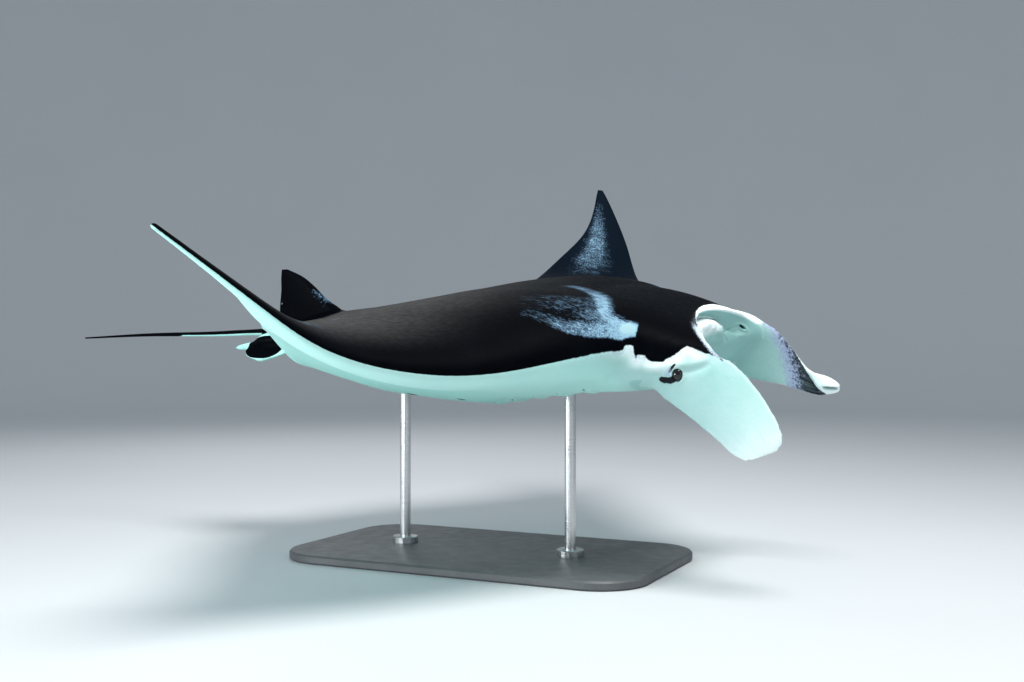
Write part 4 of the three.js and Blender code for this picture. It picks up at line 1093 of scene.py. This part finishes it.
# painted shadow: a fine dark line on the near edge of the mouth, on the right side only
for s in (1, -1):
    k = np.where((ridge_at < 0.004) & (LOCAL[:, 1] * s > 0) & (ridge_cy > 0.60) & (ridge_cy < 0.97))[0]
    spots_and_shadow[k] = np.maximum(spots_and_shadow[k], (0.0006 if s < 0 else -0.02) - ridge_at[k])
# painted shade: the skin darkened where it is pushed in, in the slits, nostrils, creases and dents
hollow_shade = np.clip((-push - 0.0009) / 0.0018, 0, 1)
in_slit = (push < -0.0009) & ((np.abs(HEIGHT_AT) > 0.0))
hollow_shade = np.maximum(np.where(in_slit, hollow_shade, 0), 0.5 * np.clip(slit * 1.6 - 0.6, 0, 1) * (slit > 0)) * np.where((X > 0.2) & (np.linalg.norm(both - NOSTRIL, axis=1) > 0.0085), 0.55, 1.0)
# the wings' ends have a faint mottled grey on top: painted sheen together with their own pale mottling
at = np.where((HEIGHT_AT > 0) & (SPAN_ABS > 0.3))[0]
patch_and_sheen[at] = np.maximum(patch_and_sheen[at], arm(flat2[at], [(0.474, -0.039, 0.006, 0.28), (0.4456, -0.035, 0.010, 0.48), (0.4168, -0.031, 0.015, 0.62), (0.3877, -0.0270, 0.022, 0.60), (0.3600, -0.0250, 0.030, 0.50), (0.338, -0.0190, 0.036, 0.32), (0.318, -0.012, 0.030, 0.0)]))

# the cephalic fins' own directions, for their fine lengthwise and cross lines
fin_dir = np.zeros((len(FLAT), 3))
for s, which in ((-1, "right"), (1, "left")):
    rings, places = lobe[which]
    rp, pl = np.vstack(rings), np.vstack(places)
    tree = KDTree(len(rp))
    for i, p in enumerate(rp):
        tree.insert(p, i)
    tree.balance()
    at = np.where((X > 0.215) & (LOCAL[:, 1] * s > 0.07))[0]
    for i in at:
        _, j, d = tree.find(LOCAL[i])
        fin_dir[i] = (pl[j, 0], pl[j, 1], max(0.0, 1 - d / 0.006))
note("fin directions")

# tone of the pale skin, from sea green, 0, to white, 1: mostly painted light and shade, sea green in the shaded hollows
# and white where light falls, over the skin's own white rims
# painted light and shade: lighter on the inner part of the wings' underside, darker towards the wing ends and on the
# hind belly
tone_and_light = 0.20 + 0.14 * step(0.12, 0.26, SPAN_ABS) - 0.12 * step(0.36, 0.47, SPAN_ABS)
tone_and_light -= 0.12 * step(0.09, 0.0, LENGTH_AT) * step(0.2, 0.1, SPAN_ABS)
# painted light: the cheek a little lighter, and white under the black edge where the brow is lit
cheek = step(0.17, 0.21, X) * step(0.075, 0.095, Y_ABS)
tone_and_light += cheek * (0.04 + 0.70 * step(-0.0135, -0.0020, dark))
# painted light along the cephalic fins: darker at the root and on the right fin's inner face, whiter to the end, with a
# painted highlight along the right fin's upper edge; the left fin's pale upper and lower rims are partly its own white
ft, fa, fin_on = fin_dir.T
outside = step(0.25, -0.15, inward)
right_fin_tone_and_light = through([0, 0.3, 0.55, 0.8, 1], [0.04, 0.05, 0.14, 0.42, 0.95])(ft) + 0.25 * step(0.93, 0.99, fa)
left_fin_tone_and_light = through([0, 0.5, 0.8, 0.92, 1], [0.20, 0.22, 0.45, 0.85, 1.0])(ft) + 0.65 * step(0.90, 0.985, fa) + 0.35 * step(0.07, 0.01, fa) * step(0.3, 0.5, ft)
start = step(0.240, 0.275, X)
tone_and_light += (np.where(LEFT, left_fin_tone_and_light, right_fin_tone_and_light * outside + 0.2 * (1 - outside)) - tone_and_light) * fin_on * start
# painted shade: the roof of the mouth darkened
roof = funnel * step(0.300, 0.262, X)
tone_and_light += (np.minimum(tone_and_light, 0.08) - tone_and_light) * roof
# the pale lip along the rim, partly the skin's own white and partly painted light, and a painted highlight where the
# rim faces up
lip = step(0.0050, 0.0020, ridge_at) * (X > 0.222) * step(0.276, 0.260, X)
top_of_rim = step(0.0, 0.35, normal[:, 2]) * step(0.222, 0.228, X) * (Y_ABS < 0.09) * (Z > 0.004) * step(0.285, 0.270, X)
tone_and_light = np.maximum(tone_and_light, top_of_rim)
tone_and_light = np.maximum(tone_and_light, lip * np.where(LEFT | (ridge_cy < 0.3), 1.0, 0.25))
# painted light: the top of the lower jaw's cushion whitened
cushion = step(1.06, 0.96, (Y_ABS / 0.0540) ** 3.3 + (np.maximum(0, Z + 0.012) / 0.0318) ** 3.3) * step(0.216, 0.224, X) * step(-0.002, 0.010, Z) * (Z < 0.03)
tone_and_light = np.maximum(tone_and_light, cushion * 0.8)

attribute("dark", dark * DISC_WIDTH * 1000)  # mm
attribute("patch_and_sheen", patch_and_sheen)
attribute("breath", breath)
attribute("tone_and_light", np.clip(tone_and_light, 0, 1))
# painted sea-green light and shade on the pale skin behind the head
attribute("sea_green_light", step(0.205, 0.165, X))
attribute("upright", np.maximum(step(0.030, 0.036, Z) * step(0.014, 0.009, Y_ABS), step(0.27, 0.31, SPAN_ABS)))
attribute("ragged", ragged)
attribute("band_and_fold_light", band_and_fold_light * DISC_WIDTH * 1000)
attribute("band_and_fold_depth", band_and_fold_depth)
attribute("spots_and_shadow", spots_and_shadow * DISC_WIDTH * 1000)
attribute("hollow_shade", hollow_shade)
flat_attr = skin_mesh.attributes.new("flat", "FLOAT_VECTOR", "POINT")
flat_attr.data.foreach_set("vector", np.ascontiguousarray((FLAT * DISC_WIDTH)[:, [1, 0, 2]], dtype=np.float32).ravel())  # m: length, span, height
fin_attr = skin_mesh.attributes.new("fin", "FLOAT_VECTOR", "POINT")
fin_attr.data.foreach_set("vector", np.ascontiguousarray(fin_dir, dtype=np.float32).ravel())
# ---------------------------------------------------------------- materials, all from nodes
class Shade:
    def __init__(self, name):
        self.mat = bpy.data.materials.new(name)
        self.mat.use_nodes = True
        self.tree = self.mat.node_tree
        self.tree.nodes.clear()
        self.bsdf = self.tree.nodes.new("ShaderNodeBsdfPrincipled")
        out = self.tree.nodes.new("ShaderNodeOutputMaterial")
        self.tree.links.new(self.bsdf.outputs[0], out.inputs[0])

    def put(self, socket, v):
        if isinstance(v, bpy.types.NodeSocket):
            self.tree.links.new(v, socket)
        elif isinstance(v, tuple):
            socket.default_value = v + (1.0,) if len(v) == 3 and len(socket.default_value) == 4 else v
        else:
            socket.default_value = v

    def set(self, **values):
        for k, v in values.items():
            self.put(self.bsdf.inputs[k.replace("_", " ")], v)

    def math(self, op, a, b=0.0, c=None, clamp=False):
        n = self.tree.nodes.new("ShaderNodeMath")
        n.operation, n.use_clamp = op, clamp
        self.put(n.inputs[0], a)
        self.put(n.inputs[1], b)
        if c is not None:
            self.put(n.inputs[2], c)
        return n.outputs[0]

    def mix(self, f, a, b):
        n = self.tree.nodes.new("ShaderNodeMix")
        n.data_type = "RGBA"
        for i, v in ((0, f), (6, a), (7, b)):
            self.put(n.inputs[i], v)
        return n.outputs[2]

    def ease(self, x, lo, hi, to=(0.0, 1.0)):
        n = self.tree.nodes.new("ShaderNodeMapRange")
        n.interpolation_type = "SMOOTHSTEP"
        for i, v in enumerate((x, lo, hi, to[0], to[1])):
            self.put(n.inputs[i], v)
        return n.outputs[0]

    def attr(self, name, vector=False):
        n = self.tree.nodes.new("ShaderNodeAttribute")
        n.attribute_name = name
        return n.outputs["Vector" if vector else "Fac"]

    def stretch(self, v, by, offset=(0.0, 0.0, 0.0)):
        n = self.tree.nodes.new("ShaderNodeVectorMath")
        n.operation = "MULTIPLY_ADD"
        self.put(n.inputs[0], v)
        self.put(n.inputs[1], by)
        self.put(n.inputs[2], offset)
        return n.outputs[0]

    def noise(self, v, scale, detail=2.0, rough=0.5, warp=0.0):
        n = self.tree.nodes.new("ShaderNodeTexNoise")
        self.put(n.inputs["Vector"], v)
        n.inputs["Scale"].default_value, n.inputs["Detail"].default_value = scale, detail
        n.inputs["Roughness"].default_value, n.inputs["Distortion"].default_value = rough, warp
        return n.outputs["Fac"]

    def cells(self, v, scale, out="Distance", feature="F1"):
        n = self.tree.nodes.new("ShaderNodeTexVoronoi")
        n.feature = feature
        self.put(n.inputs["Vector"], v)
        n.inputs["Scale"].default_value = scale
        return n.outputs[out]

    def split(self, v):
        n = self.tree.nodes.new("ShaderNodeSeparateXYZ")
        self.put(n.inputs[0], v)
        return n.outputs

    def bump(self, height, strength=1.0, distance=1.0):
        n = self.tree.nodes.new("ShaderNodeBump")
        n.inputs["Strength"].default_value, n.inputs["Distance"].default_value = strength, distance
        self.put(n.inputs["Height"], height)
        self.put(self.bsdf.inputs["Normal"], n.outputs[0])


def skin_material():
    s = Shade("manta_skin")
    m, add, mul, sub = s.math, "ADD", "MULTIPLY", "SUBTRACT"
    flat = s.attr("flat", True)
    centred = lambda n, k: m(mul, m(sub, n, 0.5), k)
    # where the dark back ends
    ragged = s.attr("ragged")
    wander = m(add, centred(s.noise(flat, 75, 3, 0.6), 9.0), centred(s.noise(flat, 330, 2), 5.0))
    edge = m(add, s.attr("dark"), m(mul, wander, ragged))
    is_dark = s.ease(edge, m(sub, m(mul, ragged, -1.4), 0.4), m(add, m(mul, ragged, 1.6), 0.4))
    upright = s.attr("upright")
    # dark back: near black, faintly mottled, with a few tiny pale flecks
    dark = s.mix(m(mul, s.ease(s.noise(flat, 7, 4, 0.6), 0.45, 0.75), 0.6), (0.0004, 0.0008, 0.0018), (0.0012, 0.0020, 0.0034))
    grain = s.noise(s.stretch(flat, (1.0, 2.6, 2.6)), 160, 3, 0.65)
    dark = s.mix(m(mul, s.ease(grain, 0.55, 0.8), 0.5), dark, (0.0034, 0.0050, 0.0075))
    # painted haze of light: the black a little bluer towards the end of the left wing
    dark = s.mix(m(mul, s.ease(s.split(flat)[1], 0.45, 1.3), 0.7), dark, (0.0030, 0.0085, 0.0170))
    fleck_at = s.cells(flat, 13)
    fleck_on = s.ease(s.split(s.cells(flat, 13, "Color"))[0], 0.72, 0.74)
    dark = s.mix(m(mul, s.ease(fleck_at, 0.034, 0.018), fleck_on), dark, (0.22, 0.26, 0.28))
    # shoulder patches, and the painted sheen on the wings: pale grey-blue, drawn out in fine streaks along the body
    patch_and_sheen = s.attr("patch_and_sheen")
    streaks = s.noise(s.stretch(flat, (0.12, 1.0, 1.0)), 210, 3, 0.62)
    streaks = m(add, m(mul, streaks, m(sub, 1.0, upright)), m(mul, s.noise(flat, 150, 3, 0.6), upright))
    fine = s.noise(s.stretch(flat, (0.3, 1.0, 1.0)), 560, 2, 0.5)
    fine = m(add, m(mul, fine, m(sub, 1.0, upright)), m(mul, s.noise(flat, 480, 2, 0.5), upright))
    soft = s.noise(s.stretch(flat, (0.5, 1.0, 1.0)), 40, 3, 0.55)
    p = m(add, m(add, patch_and_sheen, centred(streaks, 1.5)), m(add, centred(fine, 0.9), centred(soft, 0.7)))
    strength = m(mul, s.ease(p, 0.16, 1.18), s.ease(patch_and_sheen, 0.02, 0.22))
    grey = s.mix(s.ease(strength, 0.0, 0.45), (0.005, 0.009, 0.016), (0.062, 0.112, 0.168))
    grey = s.mix(s.ease(strength, 0.4, 1.0), grey, (0.235, 0.405, 0.530))
    grey = s.mix(s.ease(patch_and_sheen, 0.95, 1.22), grey, (0.30, 0.48, 0.53))
    dark = s.mix(s.ease(strength, 0.02, 0.16), dark, grey)
    # feathery grey-lavender along the near edge of the mouth
    breath = s.attr("breath")
    feather = m(add, m(add, breath, centred(s.noise(flat, 260, 3, 0.6), 1.5)), centred(s.noise(flat, 620, 2), 0.7))
    dark = s.mix(m(mul, s.ease(feather, 0.35, 1.05), s.ease(breath, 0.02, 0.2)), dark, (0.54, 0.65, 0.78))
    # pale underside: white, with painted light and shade running from sea green to white, greyer towards the dark edge
    tone_and_light = m(add, s.attr("tone_and_light"), centred(s.noise(flat, 4.5, 3), 0.20))
    tone_and_light = m(add, tone_and_light, centred(s.noise(flat, 26, 4, 0.6), 0.12), clamp=True)
    pale = s.mix(tone_and_light, (0.235, 0.475, 0.450), (0.84, 0.945, 0.945))
    # painted sea-green light and shade on the pale skin behind the head
    pale = s.mix(s.attr("sea_green_light"), pale, s.mix(tone_and_light, (0.35, 0.715, 0.655), (0.74, 0.93, 0.90)))
    shade_edge = m(mul, s.ease(edge, -20.0, -2.0), m(mul, m(mul, s.ease(s.noise(flat, 120, 3, 0.6), 0.35, 0.7), 0.45), ragged))
    pale = s.mix(shade_edge, pale, (0.33, 0.40, 0.56))
    # pigment spots, and the painted shade and shadow lines by the eye and the mouth, near black
    spot_and_shadow = m(add, s.attr("spots_and_shadow"), centred(s.noise(flat, 140, 3, 0.6), 5.0))
    pale = s.mix(s.ease(spot_and_shadow, -1.0, 1.6), pale, (0.014, 0.016, 0.022))
    # the speckled dark band inside the cephalic fins, and the painted highlight on the fold behind the eye
    speck = s.noise(s.stretch(flat, (1.0, 1.0, 1.0)), 125, 4, 0.62)
    depth = m(add, m(add, s.attr("band_and_fold_depth"), centred(speck, 1.5)), centred(s.noise(flat, 300, 2), 0.9))
    in_band = s.ease(m(add, s.attr("band_and_fold_light"), centred(s.noise(flat, 170, 2), 5.0)), -1.2, 1.6)
    band_and_fold_light = s.mix(s.ease(depth, 0.34, 0.82), (0.33, 0.40, 0.58), (0.018, 0.018, 0.028))
    pale = s.mix(m(mul, in_band, s.ease(depth, -0.22, 0.42)), pale, band_and_fold_light)
    colour = s.mix(is_dark, pale, dark)
    # painted shade in the slits, nostrils, creases and dents, near black
    colour = s.mix(m(mul, s.attr("hollow_shade"), 0.93), colour, (0.02, 0.022, 0.028))
    fin = s.split(s.attr("fin", True))
    comb = s.tree.nodes.new("ShaderNodeCombineXYZ")
    s.put(comb.inputs[0], m(mul, fin[0], 3.0))
    s.put(comb.inputs[1], m(mul, fin[1], 46.0))
    lines = s.noise(comb.outputs[0], 1.0, 3, 0.6)
    comb2 = s.tree.nodes.new("ShaderNodeCombineXYZ")
    s.put(comb2.inputs[0], m(mul, fin[0], 60.0))
    s.put(comb2.inputs[1], m(mul, fin[1], 5.0))
    cross = s.noise(comb2.outputs[0], 1.0, 2, 0.5)
    colour = s.mix(m(mul, m(mul, m(mul, fin[2], s.ease(fin[0], 0.45, 0.8)), s.ease(lines, 0.46, 0.72)), 0.34), colour, (0.36, 0.62, 0.62))
    s.set(Base_Color=colour, Roughness=m(add, m(mul, is_dark, 0.04), s.ease(s.noise(flat, 55, 3), 0.2, 0.8, (0.42, 0.54))))
    s.bsdf.inputs["Specular IOR Level"].default_value = 0.02
    s.bsdf.inputs["Coat Weight"].default_value = 0.0
    s.bsdf.inputs["Coat Roughness"].default_value = 0.22
    height = m(mul, s.noise(flat, 900, 2, 0.6), 0.00022)
    height = m(add, height, m(mul, s.noise(flat, 150, 3, 0.55), 0.0005))
    height = m(add, height, m(mul, m(mul, lines, fin[2]), 0.0006))
    height = m(add, height, m(mul, m(mul, cross, fin[2]), 0.00035))
    s.bump(height)
    return s.mat


skin_mesh.materials.clear()
skin_mesh.materials.append(skin_material())
# ---------------------------------------------------------------- eyes
def eye_piece(name, node, side_of):
    centre, out, fore, up = EYES[side_of]
    rings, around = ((40, 64))
    rows = []
    for i in range(1, rings):
        th = math.pi * i / rings
        # a shallow cornea stands on the front of the ball, inside its radius
        r = EYE_R * (0.988 + 0.012 * (1 - float(step(0.55, 0.78, th))))
        rows.append([centre + r * (math.cos(th) * out + math.sin(th) * (math.cos(a) * fore + math.sin(a) * up)) for a in 2 * math.pi * np.arange(around) / around])
    pts, faces = loft(rows, ends=False)
    pts = np.vstack([pts, centre + EYE_R * out, centre - 0.988 * EYE_R * out])
    a, b, o = len(pts) - 2, len(pts) - 1, (rings - 2) * around
    faces += [(a, (q + 1) % around, q) for q in range(around)] + [(b, o + q, o + (q + 1) % around) for q in range(around)]
    me = bpy.data.meshes.new(name)
    me.from_pydata(world(pts).tolist(), [], faces)
    me.update()
    b2 = bmesh.new()
    b2.from_mesh(me)
    bmesh.ops.recalc_face_normals(b2, faces=b2.faces[:])
    b2.to_mesh(me)
    b2.free()
    rel = (np.array(pts) - centre) / EYE_R
    polar = np.degrees(np.arccos(np.clip(rel @ out / np.maximum(np.linalg.norm(rel, axis=1), 1e-9), -1, 1)))
    for key, val in (("polar", polar), ("fore", rel @ fore), ("up", rel @ up)):
        at = me.attributes.new(key, "FLOAT", "POINT")
        at.data.foreach_set("value", np.ascontiguousarray(val, dtype=np.float32))
    for p in me.polygons:
        p.use_smooth = True
    ob = bpy.data.objects.new(name, me)
    bpy.context.scene.collection.objects.link(ob)
    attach(ob, "root")
    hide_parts(node)
    return ob


eyes = [eye_piece("eyeball_right", "eye_right", -1), eye_piece("eyeball_left", "eye_left", 1)]


def eye_material():
    s = Shade("eye")
    m = s.math
    polar, fore, up = s.attr("polar"), s.attr("fore"), s.attr("up")
    comb = s.tree.nodes.new("ShaderNodeCombineXYZ")
    s.put(comb.inputs[0], fore)
    s.put(comb.inputs[1], up)
    # a wide crescent pupil hangs under a dark brown lid of iris
    down = m("ADD", up, m("MULTIPLY", m("MULTIPLY", fore, fore), -0.55))
    pupil = m("MULTIPLY", s.ease(down, 0.10, 0.02), m("MULTIPLY", s.ease(down, -0.30, -0.22), s.ease(m("ABSOLUTE", fore), 0.44, 0.36)))
    rays = s.noise(comb.outputs[0], 14, 4, 0.65)
    iris = s.mix(s.ease(rays, 0.35, 0.7), (0.0035, 0.0035, 0.0045), (0.010, 0.009, 0.010))
    ring = s.mix(s.ease(polar, 40.0, 50.0), iris, s.mix(s.ease(s.noise(comb.outputs[0], 9, 3), 0.4, 0.7), (0.003, 0.005, 0.010), (0.008, 0.013, 0.022)))
    s.set(Base_Color=s.mix(pupil, ring, (0.0015, 0.0015, 0.002)), Roughness=s.ease(s.noise(comb.outputs[0], 30, 2), 0.2, 0.8, (0.05, 0.10)))
    s.bsdf.inputs["Coat Weight"].default_value = 0.1
    s.bsdf.inputs["Coat Roughness"].default_value = 0.03
    s.bump(m("MULTIPLY", s.noise(comb.outputs[0], 40, 2), 0.00006))
    return s.mat


eye_shade = eye_material()
for ob in eyes:
    ob.data.materials.append(eye_shade)
# ---------------------------------------------------------------- stand
def paint_material():
    s = Shade("stand_base_paint")
    m = s.math
    geo = s.tree.nodes.new("ShaderNodeNewGeometry")
    place = geo.outputs["Position"]
    mottle = s.noise(place, 6, 4, 0.6)
    fine = s.noise(place, 420, 3, 0.6)
    colour = s.mix(s.ease(mottle, 0.35, 0.7), (0.070, 0.076, 0.082), (0.088, 0.094, 0.100))
    colour = s.mix(m("MULTIPLY", s.ease(fine, 0.62, 0.8), 0.5), colour, (0.13, 0.135, 0.14))
    s.set(Base_Color=colour, Roughness=s.ease(s.noise(place, 22, 4), 0.25, 0.75, (0.42, 0.58)))
    s.bump(m("ADD", m("MULTIPLY", fine, 0.00018), m("MULTIPLY", s.noise(place, 1400, 2), 0.00006)))
    return s.mat


def steel_material():
    s = Shade("stand_rod_steel")
    m = s.math
    geo = s.tree.nodes.new("ShaderNodeNewGeometry")
    place = geo.outputs["Position"]
    turned = s.noise(s.stretch(place, (6.0, 6.0, 900.0)), 1.0, 3, 0.6)
    smear = s.noise(place, 18, 3)
    s.set(Base_Color=s.mix(s.ease(turned, 0.35, 0.7), (0.50, 0.51, 0.52), (0.66, 0.67, 0.68)), Roughness=s.ease(m("ADD", m("MULTIPLY", turned, 0.6), m("MULTIPLY", smear, 0.4)), 0.3, 0.7, (0.24, 0.40)), Metallic=1.0)
    s.bsdf.inputs["Anisotropic"].default_value = 0.4
    s.bump(m("MULTIPLY", turned, 0.00005))
    return s.mat


for names, mat in ((("stand_base",), paint_material()), (("stand_rod_front", "stand_rod_rear"), steel_material())):
    for name in names:
        me = CAD[name].data
        me.materials.clear()
        me.materials.append(mat)
# ---------------------------------------------------------------- camera, floor, light
C, R, U, F = (np.array(v) for v in ((0.5767, -1.1416, 0.1657), (0.9014, 0.4293, -0.0555), (-0.0072, 0.1431, 0.9897), (-0.4328, 0.8917, -0.1321)))
camera = bpy.data.cameras.new("camera")
camera.sensor_width, camera.lens, camera.clip_end = 36.0, 42.23, 100.0
eye_point = bpy.data.objects.new("camera", camera)
bpy.context.scene.collection.objects.link(eye_point)
turn = POSE[:3, :3]
m = Matrix.Identity(4)
for col, v in enumerate((R, U, -F)):
    m.col[col][:3] = turn @ v
m.translation = world(C)
eye_point.matrix_world = m
bpy.context.scene.camera = eye_point

# a round studio cove: flat floor, then a long curve up to the wall
rows, around = [], 96
for r, z in [(0.0, 0.0), (2.0, 0.0), (5.0, 0.0), (9.0, 0.0)] + [(9.0 + 5.0 * math.sin(t), 5.0 * (1 - math.cos(t))) for t in np.linspace(0, math.pi / 2, 17)[1:]] + [(14.0, 7.5)]:
    rows.append([(max(r, 0.01) * math.cos(a), max(r, 0.01) * math.sin(a), z - 0.0005) for a in 2 * math.pi * np.arange(around) / around])
pts, faces = loft(rows, ends=False)
faces.append(tuple(range(around))[::-1])
floor_mesh = bpy.data.meshes.new("floor")
floor_mesh.from_pydata(np.asarray(pts).tolist(), [], [f[::-1] for f in faces])
for p in floor_mesh.polygons:
    p.use_smooth = True
floor = bpy.data.objects.new("floor", floor_mesh)
bpy.context.scene.collection.objects.link(floor)
s = Shade("floor")
geo = s.tree.nodes.new("ShaderNodeNewGeometry")
s.set(Base_Color=s.mix(s.noise(geo.outputs["Position"], 0.7, 3), (0.59, 0.62, 0.65), (0.63, 0.66, 0.68)), Roughness=0.8)
floor_mesh.materials.append(s.mat)

sky = bpy.data.worlds.new("studio")
bpy.context.scene.world = sky
sky.use_nodes = True
bg = sky.node_tree.nodes["Background"]
bg.inputs["Color"].default_value = (0.80, 0.88, 0.96, 1)
bg.inputs["Strength"].default_value = 0.42


def light(name, place, aim, size, energy, colour=(1, 1, 1)):
    data = bpy.data.lights.new(name, "AREA")
    data.shape, data.size, data.energy, data.color = "DISK", size, energy, colour
    ob = bpy.data.objects.new(name, data)
    ob.location = place
    ob.rotation_euler = (Vector(aim) - Vector(place)).to_track_quat("-Z", "Y").to_euler()
    bpy.context.scene.collection.objects.link(ob)
    return ob


light("key", (1.8, -1.5, 5.1), (0.4, 0.0, 0.8), 2.4, 320, (1.0, 0.985, 0.96))
light("fill", (5.2, -3.0, 1.6), (0.6, -0.1, 0.75), 2.5, 30, (0.9, 0.97, 1.0))
light("side", (-2.4, -4.6, 0.9), (-0.2, -0.4, 0.8), 1.7, 190, (0.92, 0.98, 1.0))
light("rim", (-3.5, 3.5, 4.0), (0.0, 0.0, 0.9), 2.5, 60)
bpy.context.scene.view_settings.view_transform = "Standard"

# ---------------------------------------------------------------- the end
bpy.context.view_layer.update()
note("done")
